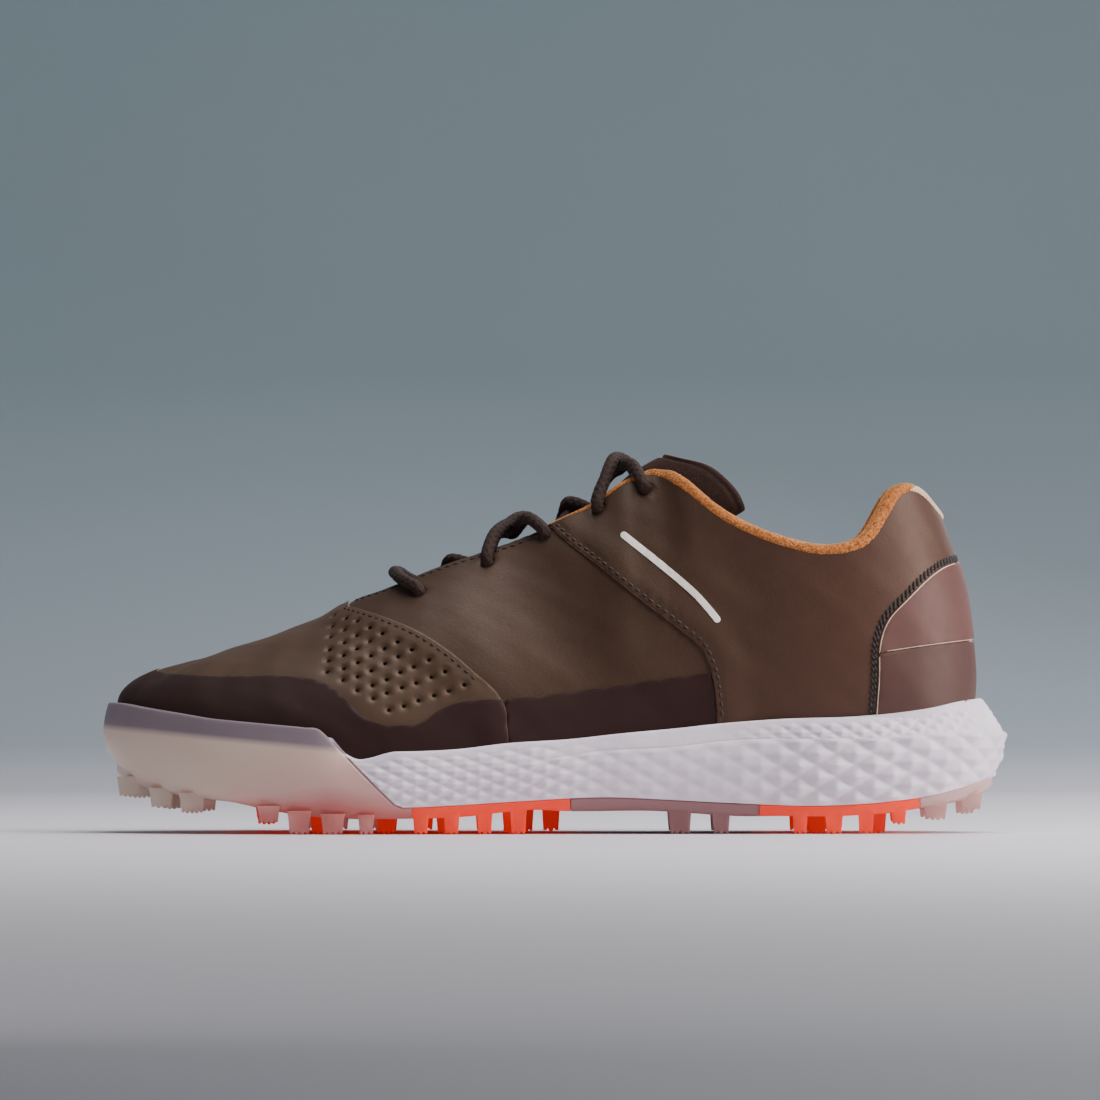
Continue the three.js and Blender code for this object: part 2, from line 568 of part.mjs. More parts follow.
const frontLining = intersect(shell(LINING), block(-REACH, LINING_SPLIT_X - GAP))
  .subtract(throatCut);
add("vamp_lining", punch(punch(frontLining, "lateral"), "medial"), FINISH.lining);

// Rolled over the leather edge as a rim. At the heel tab the rim is thinned for the binding.
function collarLining() {
  const rear = block(LINING_SPLIT_X, REACH), heelTab = block(118.6, REACH);
  const liner = intersect(
    shell({ outer: padded(LINING.outer), inner: padded(LINING.inner) }), rear);
  const rim = intersect(
    shell({ outer: 0.2, inner: padded(LINING.inner - 0.1) }), rear, aboveLeatherEdge);
  return liner
    .add(rim.subtract(heelTab))
    .add(intersect(rim, heelTab, plug(-1.8, 0)))
    .subtract(throatCut);
}
add("collar_lining", collarLining(), FINISH.collarLining);

// Pale binding over the heel tab.
add("heel_binding",
  intersect(shell({ outer: 0.3, inner: -1.4 }), aboveLeatherEdge, block(119, REACH)),
  FINISH.binding);

const collarFoam = intersect(
  shell({ outer: STIFFENER.outer, inner: padded(LINING.outer + GAP) }),
  belowLeatherEdge(0.5), prismXZ(COLLAR_FOAM));
addPair("collar_foam", collarFoam.subtract(throatCut), FINISH.foam);

// ---------------------------------------------------------------- lasting board and footbed
const INNER_STATIONS = [0, .04, ...KNOTS.slice(2)];
function footSlab({ thickness, inset }, low) {
  const ring = (rise) => ({ inset: () => inset, z: (x) => boardZ(x) + rise });
  return loft(feather, INNER_STATIONS, [ring(low), ring(low + thickness)]);
}
add("strobel_board", footSlab(BOARD, 0), FINISH.board);
add("insole", footSlab(FOOTBED, BOARD.thickness + GAP), FINISH.footbed);

// ---------------------------------------------------------------- sole volumes
const SOLE_STATIONS = [0, .03, .065, ...KNOTS.slice(2, 15), .91, .94, .97, 1];
// Rings of the side wall [fraction from plate to bite line, inset, further inset at the heel].
const SOLE_RINGS = [[0, 4, 0], [.15, 1.8, 0], [.42, 0, 0], [.75, .3, 1.4], [1, 1.6, 5]];
// The sole's full outer volume, moved in by extraInset, its top raised by rise.
const soleVolume = (extraInset, rise) => loft(outline, SOLE_STATIONS,
  SOLE_RINGS.map(([fraction, inset, heelInset]) => ({
    inset: (x) => inset + extraInset + heelInset * smoothstep(70, 150, x),
    z: (x) => {
      const low = plateZ(x), high = biteZ(x);
      return fraction === 1 ? high + rise : low + (high - low) * fraction;
    },
  })));
const envelope = soleVolume(0, 0);
const cavity = plug(CAVITY.clearance, CAVITY.drop);
const plateTop = shift(MIDSOLE_UNDERSIDE, 0, -GAP);

// ---------------------------------------------------------------- midsole and shank
// Bar that follows the board, between two heights measured from it.
function shankBar(grow, low, high) {
  const xs = [SHANK.x0 - grow, 20, 40, 58, SHANK.x1 + grow], last = xs.length - 1;
  const reach = SHANK.halfWidth + grow, builder = new SolidBuilder();
  const corner = (k, sign, z) =>
    new THREE.Vector3(xs[k], SHANK.centreY + sign * reach, boardZ(xs[k]) + z);
  for (let k = 0; k < last; k++) {
    const n = k + 1;
    builder.quad([corner(k, -1, low), corner(k, 1, low), corner(n, 1, low), corner(n, -1, low)]);
    builder.quad(
      [corner(k, -1, high), corner(n, -1, high), corner(n, 1, high), corner(k, 1, high)]);
    builder.quad(
      [corner(k, -1, low), corner(n, -1, low), corner(n, -1, high), corner(k, -1, high)]);
    builder.quad([corner(k, 1, low), corner(k, 1, high), corner(n, 1, high), corner(n, 1, low)]);
  }
  builder.quad([corner(0, -1, low), corner(0, -1, high), corner(0, 1, high), corner(0, 1, low)]);
  builder.quad(
    [corner(last, -1, low), corner(last, 1, low), corner(last, 1, high), corner(last, -1, high)]);
  return builder.solid();
}
// Foam: full width behind the toe wrap, a narrower core inside it.
function midsole() {
  const core = intersect(soleVolume(WRAP_T + GAP, 0), prismXZ([
    ...MIDSOLE_UNDERSIDE.filter(([x]) => x < -40), [-40, 9.2], [-40, 25],
    ...reversed(FOAM_TOP)]));
  const rear = intersect(envelope, prismXZ([
    ...shift(WRAP_EDGE.slice(1), WRAP_SEAM, 0),
    ...MIDSOLE_UNDERSIDE.filter(([x]) => x > -50.5),
    [160, 70], [WRAP_EDGE[0][0] + WRAP_SEAM, 70]]));
  return core.add(rear).subtract(cavity)
    .subtract(shankBar(SHANK_POCKET.grow, SHANK.low - GAP, SHANK_POCKET.high));
}
add("midsole", midsole(), FINISH.midsole);
add("shank", shankBar(0, SHANK.low, SHANK.high), FINISH.shank);

// ---------------------------------------------------------------- studs
// Along each side [x, size along X, tip z where it is not the usual one].
const EDGE_STUDS = {
  lateral: [
    [-142, 8], [-131, 7.6], [-120.5, 8], [-109.8, 7], [-94.7, 6.7, 3.7], [-84.5, 7.4, 0],
    [-73.4, 7.4], [-62.3, 5], [-44.2, 5], [-34, 5], [-23, 5], [-11.8, 5.4], [42, 7.4],
    [55.7, 5.7], [82, 4.7], [93.3, 5.7], [104, 5], [115, 4.7, 3], [127.3, 7.6, 4.5],
    [139.5, 7.5, 7.6]],
  medial: [
    [-140, 8], [-129, 7.6], [-118.5, 8], [-98, 6.7, 3.9], [-84.5, 7.4, 0], [-73.4, 7.4],
    [-60, 5], [-43.4, 5], [-34.5, 5], [-24, 5], [-1, 6], [42, 7.4], [55.7, 5.7], [82, 4.7],
    [93.3, 5.7], [106, 5], [116, 4.7, 3], [127.3, 7.6, 4.5], [139.5, 7.5, 7.6]],
};
const INNER_STUDS = [ // [x, y]
  [-128, -8], [-128, 24], [-96, -20], [-96, 22], [-78, -24], [-78, 28], [-56, -22], [-56, 22],
  [-36, -24], [-36, 18], [-14, -22], [-10, 14], [88, -16], [88, 16], [108, -15], [108, 15],
  [138, 0]];
const EDGE_STUD = { depth: 6, inset: 6.6, endInset: 9, endX: 135 }; // endInset beyond +-endX
const INNER_STUD_SIZE = 6.4;
const RIM_STUD = { depth: 5, inset: 3.9 };
const STUD_TAPER = 0.78; // tip size over root size
const STUD_ROOT = 2.2; // how far the root reaches into the plate

// Y of the sole outline at a given x, by bisection.
function sideY(side, x) {
  let low = .02, high = .98;
  for (let k = 0; k < 40; k++) {
    const middle = (low + high) / 2;
    if (outline[side](middle)[0] < x) low = middle;
    else high = middle;
  }
  return outline[side](middleOf(low, high))[1];
}
function middleOf(low, high) {
  return (low + high) / 2;
}
const midY = (x) => middleOf(sideY("lateral", x), sideY("medial", x));

// On the ground where the plate is low, raised with it towards the toe and heel ends.
const usualTip = (x) => (plateZ(x) < 8.2 ? 0 : plateZ(x) - 5.3);
const studs = SIDES.flatMap((side) => EDGE_STUDS[side].map(([x, length, tip]) => {
  const inset = Math.abs(x) > EDGE_STUD.endX ? EDGE_STUD.endInset : EDGE_STUD.inset;
  const y = sideY(side, x) - OUTWARD_Y[side] * inset;
  return { x, y, length, depth: EDGE_STUD.depth, tip: tip ?? usualTip(x) };
}));
for (const [x, y] of INNER_STUDS)
  studs.push({ x, y, length: INNER_STUD_SIZE, depth: INNER_STUD_SIZE, tip: usualTip(x) });

function studSolid({ x, y, length, depth, tip }) {
  const builder = new SolidBuilder();
  const ring = (z, scale) => [[-1, -1], [1, -1], [1, 1], [-1, 1]].map(([a, b]) =>
    new THREE.Vector3(x + a * length / 2 * scale, y + b * depth / 2 * scale, z));
  const low = ring(tip, STUD_TAPER), high = ring(plateZ(x) + STUD_ROOT, 1);
  builder.quad(reversed(low));
  builder.quad(high);
  for (let k = 0; k < 4; k++) {
    const next = (k + 1) % 4;
    builder.quad([low[k], low[next], high[next], high[k]]);
  }
  return builder.solid();
}

// ---------------------------------------------------------------- pods and clear outsole
// Coloured pods sit in windows of the clear outsole from x0 to x1, beside a central bridge.
// Beyond openFrom a window opens to the side. Before it, a rim closes the window.
const PODS = [
  { part: "forefoot", x0: -108, x1: 5.4, openFrom: -47 },
  { part: "heel", x0: 68.5, x1: 122, openFrom: 68 },
].flatMap(({ part, ...span }) =>
  SIDES.map((side) => ({ name: `${part}_pod_${side}`, side, ...span, studs: [] })));
const BRIDGE_HALF = 6;
const RIM_WIDTH = 8;
const BEYOND_SIDE = 75;
const STUD_MARGIN = 0.6; // a stud this close to a window counts as touching it

function podWindow({ side, x0, x1, openFrom }, grow) {
  const outward = OUTWARD_Y[side], beyond = outward * BEYOND_SIDE;
  const xs = range(x0 - grow, x1 + grow, 12);
  const rimY = (x) => sideY(side, x) - outward * (RIM_WIDTH - grow);
  const inner = xs.map((x) => [x, midY(x) + outward * (BRIDGE_HALF - grow)]);
  const outer = xs.map((x) => [x, x > openFrom ? beyond : rimY(x)]);
  const step = outer.findIndex(([x]) => x > openFrom);
  if (step > 0) {
    const stepX = openFrom - grow;
    outer.splice(step, 0, [stepX, rimY(openFrom)], [stepX, beyond]);
  }
  const polygon = [...inner, ...outer.reverse()];
  return prismXY(side === "lateral" ? polygon : polygon.reverse(), -20, 60);
}
// Distances of a stud's centre from the middle of the sole and from its side.
function studPlace({ side }, { x, y }) {
  const outward = OUTWARD_Y[side];
  return {
    fromMiddle: outward * (y - midY(x)),
    fromSide: Math.abs(sideY(side, x)) - outward * y,
  };
}
function isInside(pod, stud) {
  const { fromMiddle, fromSide } = studPlace(pod, stud);
  return stud.x - stud.length / 2 > pod.x0 && stud.x + stud.length / 2 < pod.x1
    && fromMiddle - stud.depth / 2 > BRIDGE_HALF
    && (stud.x > pod.openFrom || fromSide - stud.depth / 2 > RIM_WIDTH);
}
function isTouching(pod, stud) {
  const { fromMiddle, fromSide } = studPlace(pod, stud);
  const front = stud.x - stud.length / 2, back = stud.x + stud.length / 2;
  return back > pod.x0 - STUD_MARGIN && front < pod.x1 + STUD_MARGIN
    && fromMiddle + stud.depth / 2 > BRIDGE_HALF - STUD_MARGIN
    && (back > pod.openFrom || fromSide + stud.depth / 2 > RIM_WIDTH - STUD_MARGIN);
}

// A stud belongs to the pod that holds it, or to the clear outsole. One that straddles a
// window's edge moves out to the clear rim, and one centred past the window's end is left out.
const clearStuds = [];
for (const stud of studs) {
  const owner = PODS.find((pod) => isInside(pod, stud));
  const touched = PODS.find((pod) => isTouching(pod, stud));
  if (owner) owner.studs.push(stud);
  else if (!touched) clearStuds.push(stud);
  else if (stud.x > touched.x0 && stud.x < touched.x1) {
    const y = sideY(touched.side, stud.x) - OUTWARD_Y[touched.side] * RIM_STUD.inset;
    clearStuds.push({ ...stud, y, depth: RIM_STUD.depth });
  }
}
const withStuds = (solid, list) => list.reduce((sum, stud) => sum.add(studSolid(stud)), solid);

const plate = intersect(envelope, prismXZ([...plateTop, [156, -20], [-150, -20]]));
for (const pod of PODS) {
  const body = intersect(plate, podWindow(pod, 0)).subtract(cavity);
  add(pod.name, withStuds(body, pod.studs), FINISH.pod);
}

// Plate and toe wrap in one, with the pod windows cut out.
function clearOutsole() {
  const wrapRegion = prismXZ([
    [-REACH, -20], [-50, -20], [-50, 8.5], ...reversed(WRAP_EDGE), [-REACH, 60]]);
  const wrapWell = intersect(soleVolume(WRAP_T, 25), prismXZ([
    ...plateTop.filter(([x]) => x < -48), [-49, 60], [-150, 60]]));
  let body = plate.add(intersect(envelope, wrapRegion).subtract(wrapWell)).subtract(cavity);
  for (const pod of PODS) body = body.subtract(podWindow(pod, GAP));
  return withStuds(body, clearStuds);
}
add("outsole_clear", clearOutsole(), FINISH.outsole);

// ---------------------------------------------------------------- tongue
const TONGUE_T = 3.6;
const TONGUE_OFFSET = -8.3; // outer face of the lower part
const LOWER_TONGUE_T = TONGUE_T - 0.8;
const FOLD = { x: 27, z: 121.2, clearance: 1.1 }; // root of the free top
const ALONG = { x: .867, z: .498 }; // along the free top
const DOWN = { x: .498, z: -.867 }; // down across it
const TONGUE_PLAN = [ // [x, y]
  [-75, -8], [-60, -16], [0, -18.5], [14, -14], [45, -14], [45, 14], [14, 14], [0, 19],
  [-60, 22], [-75, 16]];

function lowerTongue() {
  // Rises towards the fold, near the centre only.
  const lift = ({ point }) =>
    5 * smoothstep(10, 27, point.x) * (1 - smoothstep(9, 14, Math.abs(point.y)));
  const layer = shell({
    outer: (node) => TONGUE_OFFSET + lift(node),
    inner: (node) => TONGUE_OFFSET - LOWER_TONGUE_T + lift(node),
  });
  const foldLine = [-50, 60].map((depth) => [
    FOLD.x - FOLD.clearance * ALONG.x + depth * DOWN.x,
    FOLD.z - FOLD.clearance * ALONG.z + depth * DOWN.z]);
  return intersect(
    layer, prismXY(TONGUE_PLAN, 40, 160), prismXZ([[-76, 40], [-76, REACH], ...foldLine]));
}
add("tongue_lower", lowerTongue(), FINISH.tongue);

// Free top: a trough-shaped flap whose length varies with depth [depth, length].
const flapLength = scalarSpline([
  [0, 12.6], [3.2, 15.8], [8.7, 21.4], [18, 25.6], [24, 26.6], [30, 25.8]]);
const FLAP = { depth: 30, halfWidth: 15.4, stepsAcross: 12, stepsAlong: 3 };
function flap() {
  const builder = new SolidBuilder();
  // across runs -1..1, along 0..1, and inward is the distance from the outer face.
  const pointAt = (across, along, inward) => {
    const angle = across * Math.PI / 2, sine = Math.sin(angle), cosine = Math.cos(angle);
    const outerY = FLAP.halfWidth * Math.sign(sine) * Math.abs(sine) ** .82;
    const outerDepth = FLAP.depth * (1 - Math.abs(cosine) ** .9);
    const normalY = FLAP.halfWidth * sine, normalDepth = -FLAP.depth * .42 * cosine;
    const norm = Math.hypot(normalY, normalDepth);
    const depth = outerDepth - inward * normalDepth / norm;
    const length = flapLength(outerDepth) * along;
    return new THREE.Vector3(
      FOLD.x + DOWN.x * depth + ALONG.x * length,
      outerY - inward * normalY / norm,
      FOLD.z + DOWN.z * depth + ALONG.z * length);
  };
  // Quad through the thickness between two [across, along] places.
  const rim = (from, to, flipped) => builder.quad([
    pointAt(...from, 0), pointAt(...to, 0),
    pointAt(...to, TONGUE_T), pointAt(...from, TONGUE_T)], flipped);
  const acrossSteps = range(-1, 1, FLAP.stepsAcross), alongSteps = range(0, 1, FLAP.stepsAlong);
  for (let m = 0; m < FLAP.stepsAcross; m++) {
    const a0 = acrossSteps[m], a1 = acrossSteps[m + 1];
    for (let n = 0; n < FLAP.stepsAlong; n++) {
      const k0 = alongSteps[n], k1 = alongSteps[n + 1];
      for (const inward of [0, TONGUE_T])
        builder.quad([
          pointAt(a0, k0, inward), pointAt(a0, k1, inward),
          pointAt(a1, k1, inward), pointAt(a1, k0, inward)], inward > 0);
    }
    for (const end of [0, 1]) rim([a0, end], [a1, end], end === 1);
  }
  for (let n = 0; n < FLAP.stepsAlong; n++)
    for (const edge of [-1, 1])
      rim([edge, alongSteps[n]], [edge, alongSteps[n + 1]], edge === -1);
  return builder.solid();
}
add("tongue_upper", flap(), FINISH.tongue);

// ---------------------------------------------------------------- lace
// One cord through five eyelet pairs. Levels are offsets from the reference surface.
const LACE_R = 1.6;
const OVER = 2.3, UNDER = -5.9;
const THROUGH_LEVELS = [UNDER + .4, -2.2, 1.2]; // inside to outside of an eyelet
// Lateral end, tucked inside the quarter [station back, height down, level].
const LACE_TAIL = [[.004, .4, -9], [.004, .26, -8.4], [.002, .1, -8]];
// Eyelets in threading order, alternately lateral and medial: [eyelet index, level at mid throat
// of the strand that follows]. The toe strand, without a level, joins the front pair.
const LACE_PATH = [
  [4, .4], [3, UNDER], [2, -3.4], [1, UNDER], [0],
  [0, -2.1], [1, .5], [2, -2.1], [3, 4.3], [4]];

function lacePoints() {
  const points = [];
  const put = (side, station, height, level) => {
    const { point, normal } = frameAt(side, station, height);
    points.push(point.addScaledVector(normal, level));
  };
  const tail = (side, rows) => {
    const [station, height] = eyelets.at(-1);
    for (const [back, down, level] of rows) put(side, station - back, height - down, level);
  };
  // Strands leave lateral eyelets over the throat and medial ones under it.
  const strand = (from, to, start, end, middle) => {
    const level = from === "lateral" ? OVER : UNDER;
    const u0 = -(1 - start[1]), u1 = 1 - end[1];
    for (const k of [.2, .38, .5, .62, .8]) {
      const u = u0 + (u1 - u0) * k, station = start[0] + (end[0] - start[0]) * k;
      const rise = (middle - level) * (1 - smoothstep(0, .3, Math.abs(k - .5)));
      put(u < 0 ? from : to, station, 1 - Math.abs(u), level + rise);
    }
  };
  const toeStrand = ([station, height]) => {
    for (const k of [.18, .36, .5, .64, .82]) {
      const u = -(1 - height) * (1 - 2 * k);
      const bowed = station - .02 * Math.sin(Math.PI * k) ** .5;
      put(u < 0 ? "lateral" : "medial", bowed, 1 - Math.abs(u), k > .3 && k < .7 ? 2 : 2.2);
    }
  };

  tail("lateral", LACE_TAIL);
  LACE_PATH.forEach(([index, middle], i) => {
    const [side, other] = i % 2 === 0 ? SIDES : reversed(SIDES);
    const eyelet = eyelets[index], next = LACE_PATH[i + 1];
    // The cord comes out of every lateral eyelet and goes into every medial one.
    const levels = side === "lateral" ? THROUGH_LEVELS : reversed(THROUGH_LEVELS);
    for (const level of levels) put(side, ...eyelet, level);
    if (middle !== undefined) strand(side, other, eyelet, eyelets[next[0]], middle);
    else if (next) toeStrand(eyelet);
  });
  tail("medial", reversed(LACE_TAIL));
  return points;
}
const laceCurve = new THREE.CatmullRomCurve3(lacePoints(), false, "centripetal");

function lace() {
  const pentagon = new THREE.Shape(range(0, 4, 4).map((k) => {
    const angle = k * Math.PI / 2.5;
    return new THREE.Vector2(LACE_R * Math.cos(angle), LACE_R * Math.sin(angle));
  }));
  return fromGeometry(new THREE.ExtrudeGeometry(
    pentagon, { steps: 124, extrudePath: laceCurve, bevelEnabled: false }));
}
add("lace", lace(), FINISH.lace);

// Tips that carry on from the two cord ends: end 0 is lateral, end 1 medial.
const AGLET = { outerR: 1.5, cordR: 1.7, length: 11 };
SIDES.forEach((side, end) => {
  const direction = laceCurve.getTangentAt(end).multiplyScalar(OUTWARD_Y[side]);
  const tip = new THREE.CylinderGeometry(AGLET.outerR, AGLET.cordR, AGLET.length, 8)
    .translate(0, AGLET.length / 2 + GAP, 0);
  const body = fromGeometry(aim(tip, direction, laceCurve.getPointAt(end)));
  add(`aglet_${side}`, body, FINISH.aglet);
});

export default group;
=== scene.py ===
"""A laced low shoe with a textured foam midsole and a studded, partly clear outsole.

The shoe stands on z = 0 with its toe towards -X and its heel towards +X. The lateral side ("L")
faces -Y and the medial side ("M") faces +Y. Dimensions are in millimetres unless a comment says
otherwise; new_object() turns them into metres. Materials, lights and camera are in metres.

Each side of the upper is one surface over (s, t): s runs from toe (0) to heel (1), t from the
bottom edge (0) to the ridge or the collar (1). Panels are drawn as outlines in (s, t).
"""
import bpy, bmesh, math
import numpy as np
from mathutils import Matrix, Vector
from mathutils.kdtree import KDTree
from mathutils.geometry import delaunay_2d_cdt


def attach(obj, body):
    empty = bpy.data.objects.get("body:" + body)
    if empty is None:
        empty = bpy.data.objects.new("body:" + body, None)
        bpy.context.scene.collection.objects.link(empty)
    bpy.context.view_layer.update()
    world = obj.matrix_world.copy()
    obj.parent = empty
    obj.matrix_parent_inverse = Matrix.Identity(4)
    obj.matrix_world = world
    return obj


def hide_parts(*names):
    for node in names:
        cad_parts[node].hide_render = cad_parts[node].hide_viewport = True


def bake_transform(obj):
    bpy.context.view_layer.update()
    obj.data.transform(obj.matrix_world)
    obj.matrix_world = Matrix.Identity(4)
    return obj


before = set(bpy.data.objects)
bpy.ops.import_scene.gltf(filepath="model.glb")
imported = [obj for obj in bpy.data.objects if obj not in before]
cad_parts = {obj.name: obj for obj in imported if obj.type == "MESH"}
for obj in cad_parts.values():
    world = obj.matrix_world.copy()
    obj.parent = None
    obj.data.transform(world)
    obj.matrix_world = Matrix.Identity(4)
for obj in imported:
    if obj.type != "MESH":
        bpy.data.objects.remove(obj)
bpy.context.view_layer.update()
MM = 0.001                        # metres in a millimetre
OPEN_S = 2 / 3                    # s where the closed ridge becomes the open collar
SPAN = np.array([300.0, 85.0])    # rough length of the s and the t direction
SIDES = {"L": "lateral", "M": "medial"}
OUTWARD = {"L": -1, "M": 1}       # sign of y on each side


# ------------------------------------------------------------------ curves
def spline(rows, start_slope=None, end_slope=None):
    """Cubic Hermite curve with parabolic tangents, straight beyond its ends.

    A row is a position and its values. The end slopes can be given; None leaves one as it is."""
    table = np.array(rows, float)
    knots, values = table[:, 0], table[:, 1:]
    step = np.diff(knots)
    chord = np.diff(values, axis=0) / step[:, None]
    slope = np.zeros_like(values)
    slope[1:-1] = ((step[1:, None] * chord[:-1] + step[:-1, None] * chord[1:])
                   / (step[1:] + step[:-1])[:, None])
    slope[0] = chord[0] + (chord[0] - chord[1]) * step[0] / (step[0] + step[1])
    slope[-1] = chord[-1] + (chord[-1] - chord[-2]) * step[-1] / (step[-1] + step[-2])
    for given, end in ((start_slope, 0), (end_slope, -1)):
        for i, value in enumerate(given or ()):
            if value is not None:
                slope[end, i] = value

    def curve(x, derivative=False):
        x = np.asarray(x, float)
        held = np.clip(x, knots[0], knots[-1])
        i = np.clip(np.searchsorted(knots, held, side="right") - 1, 0, len(knots) - 2)
        width = step[i][..., None]
        u = ((held - knots[i]) / step[i])[..., None]
        u2, u3 = u * u, u * u * u
        if derivative:
            return (((6 * u2 - 6 * u) * values[i] + (-6 * u2 + 6 * u) * values[i + 1]) / width
                    + (3 * u2 - 4 * u + 1) * slope[i] + (3 * u2 - 2 * u) * slope[i + 1])
        result = ((2 * u3 - 3 * u2 + 1) * values[i] + (-2 * u3 + 3 * u2) * values[i + 1]
                  + (u3 - 2 * u2 + u) * width * slope[i] + (u3 - u2) * width * slope[i + 1])
        before, after = (x < knots[0])[..., None], (x > knots[-1])[..., None]
        return (result + np.where(before, slope[0] * (x - knots[0])[..., None], 0)
                + np.where(after, slope[-1] * (x - knots[-1])[..., None], 0))
    return curve


def height_curve(rows):
    """Curve with a single value."""
    curve = spline(rows)
    return lambda x: curve(x)[..., 0]


def smooth(start, end, x):
    """Smooth step from 0 to 1."""
    u = np.clip((np.asarray(x, float) - start) / (end - start), 0, 1)
    return u * u * (3 - 2 * u)


def rounded(distance, radius, floor=0):
    """Quarter-circle rise from an edge, reaching 1 at the radius."""
    k = np.clip(distance / radius, 0, 1)
    return np.sqrt(np.clip(1 - (1 - k) ** 2, floor, 1))


def unit(vectors):
    return vectors / np.maximum(np.linalg.norm(vectors, axis=-1, keepdims=True), 1e-9)


def lengths(points):
    """Length travelled at every point of a line."""
    return np.r_[0, np.cumsum(np.linalg.norm(np.diff(points, axis=0), axis=1))]


def resample(points, step):
    points = np.array(points, float)
    travelled = lengths(points)
    count = max(2, int(round(travelled[-1] / step)) + 1)
    at = np.linspace(0, travelled[-1], count)
    return np.stack([np.interp(at, travelled, column) for column in points.T], -1)


def curved(points, step=1.0):
    """Smooth curve through points, evenly spaced."""
    points = np.array(points, float)
    travelled = lengths(points)
    curve = spline(np.column_stack([travelled, points]))
    count = max(8, int(travelled[-1] / .4))
    return resample(curve(np.linspace(0, travelled[-1], count)), step)


def relax(line, passes):
    """Even out a line in place, with its ends held."""
    for _ in range(passes):
        line[1:-1] = .25 * line[:-2] + .5 * line[1:-1] + .25 * line[2:]
    return line


# ------------------------------------------------------------------ measured outlines
# s of the plan outlines, shared by the feather edge and the sole
KNOTS = [0, .05, .10, .155, .21, .27, .33, .39, .455, .53, .605, .68, .75, .815, .87, .92, .96, 1]
# (x, y) of the bottom edge of the upper
FEATHER = {
    "L": [(-143, 8.5), (-141, -3), (-135.5, -14.5), (-126.5, -25.5), (-114, -35), (-98, -42),
          (-80, -46.5), (-60, -48), (-38, -46.5), (-12, -42), (14, -37.5), (40, -34.5), (66, -33),
          (90, -32.5), (110, -30.5), (126, -24.5), (135.5, -13.5), (138.5, 0)],
    "M": [(-143, 8.5), (-141.5, 18), (-136.5, 27), (-128, 34.5), (-115, 41.5), (-98, 46),
          (-80, 47.5), (-60, 46.5), (-38, 42), (-12, 35), (14, 29.5), (40, 28), (66, 29.5),
          (90, 31), (110, 29.5), (126, 24), (135.5, 13.5), (138.5, 0)]}
# (x, y) of the widest line of the sole
OUTLINE = {
    "L": [(-151.5, 9), (-149.3, -4), (-143.5, -17), (-133, -30), (-119, -41), (-101.5, -49),
          (-82, -53.4), (-61, -54.2), (-38, -52.2), (-12, -48), (14, -44.2), (40, -42), (66, -41),
          (91, -40.4), (112, -37.5), (131, -30), (145.5, -17.5), (151.5, 0)],
    "M": [(-151.5, 9), (-150, 19.5), (-145, 30), (-135.5, 39), (-121, 47), (-102, 52.2),
          (-82, 54.2), (-61, 53), (-38, 48.2), (-12, 41), (14, 36), (40, 35), (66, 37.2),
          (91, 39), (112, 37), (131, 30), (145.5, 17.5), (151.5, 0)]}
# (s, x, y, z) of the ridge in front of the opening
TOPLINE = [
    (0, -120, 7.2, 57.9), (.05, -118, 7.1, 58.4), (.10, -112.5, 6.9, 60.4),
    (.155, -104.5, 6.6, 63.2), (.21, -95.5, 6.2, 65.9), (.27, -85.5, 5.6, 69.6),
    (.33, -74, 5, 74.4), (.39, -60, 4.2, 81.5), (.455, -41, 3.2, 91), (.53, -16, 2, 103),
    (.595, 7, .9, 114.2), (.64, 23.5, .2, 121.8), (OPEN_S, 30, 0, 124.2)]
# (s, x, y, z) of the lateral collar; the medial one mirrors it
COLLAR = [
    (OPEN_S, 30, 0, 124.2), (.672, 34, -5.5, 124.6), (.684, 37, -11.5, 123.4),
    (.696, 40, -17, 120.6), (.71, 44, -21, 117.4), (.725, 49, -23.6, 113),
    (.74, 55, -25.6, 108.4), (.755, 61, -27.2, 104.6), (.77, 67.5, -28.7, 101.5),
    (.787, 75, -30.2, 99), (.804, 83, -31.2, 97.1), (.821, 91, -31.6, 96.1),
    (.838, 98, -31.2, 96.9), (.853, 103, -30, 99.5), (.867, 107, -28.3, 104.2),
    (.882, 111, -25.8, 109.9), (.9, 115, -22.6, 114.8), (.92, 119, -18.8, 116.6),
    (.945, 123, -14, 115.4), (.972, 127, -7.8, 111.4), (1, 129, 0, 109.2)]
# Bezier handles of the wall: (s, low handle out, low handle up, high handle out, high handle down)
HANDLES = [
    (0, 9, 13.5, 23, 0), (.1, 8.5, 14, 22, 0), (.21, 7, 17, 24, 0), (.33, 6, 21, 27, 0),
    (.455, 5, 26, 25, 0), (.53, 4, 30, 21, 0), (.595, 3.5, 34, 20, 0), (.66, 3.5, 36, 22, 0),
    (.696, 3.5, 34, 9, 14), (.74, 4, 28, 4.5, 22), (.804, 5, 22, 2, 22),
    (.867, 5.5, 22, 2.5, 24), (.92, 5, 24, 5, 28), (1, 6.5, 23, 8.5, 19.2)]
# Heights over x: (x, z)
BOARD_Z = height_curve([
    (-151, 36), (-143, 33.5), (-130, 29.5), (-115, 26), (-100, 23.2), (-80, 21), (-60, 20),
    (-40, 20.2), (-12, 22), (14, 24.6), (40, 27.4), (66, 29.6), (90, 31), (115, 32.2), (140, 33)])
PLATE_Z = height_curve([  # underside of the outsole
    (-152, 24), (-146, 19.6), (-136.8, 15.3), (-128, 13.2), (-115.4, 11.5), (-106.2, 10.4),
    (-98, 8.6), (-88.7, 6.9), (-67.3, 5.1), (-56.4, 5.1), (-36.4, 5.4), (-27.7, 5.9),
    (-16.5, 7.2), (-7.7, 8), (4.5, 7.6), (38.4, 7.4), (46.6, 6.8), (60.7, 5.9), (75.8, 5.9),
    (97, 5.9), (107, 6.5), (112.2, 6.8), (118, 7.7), (131.4, 9.9), (136, 10.8), (149, 17.5)])
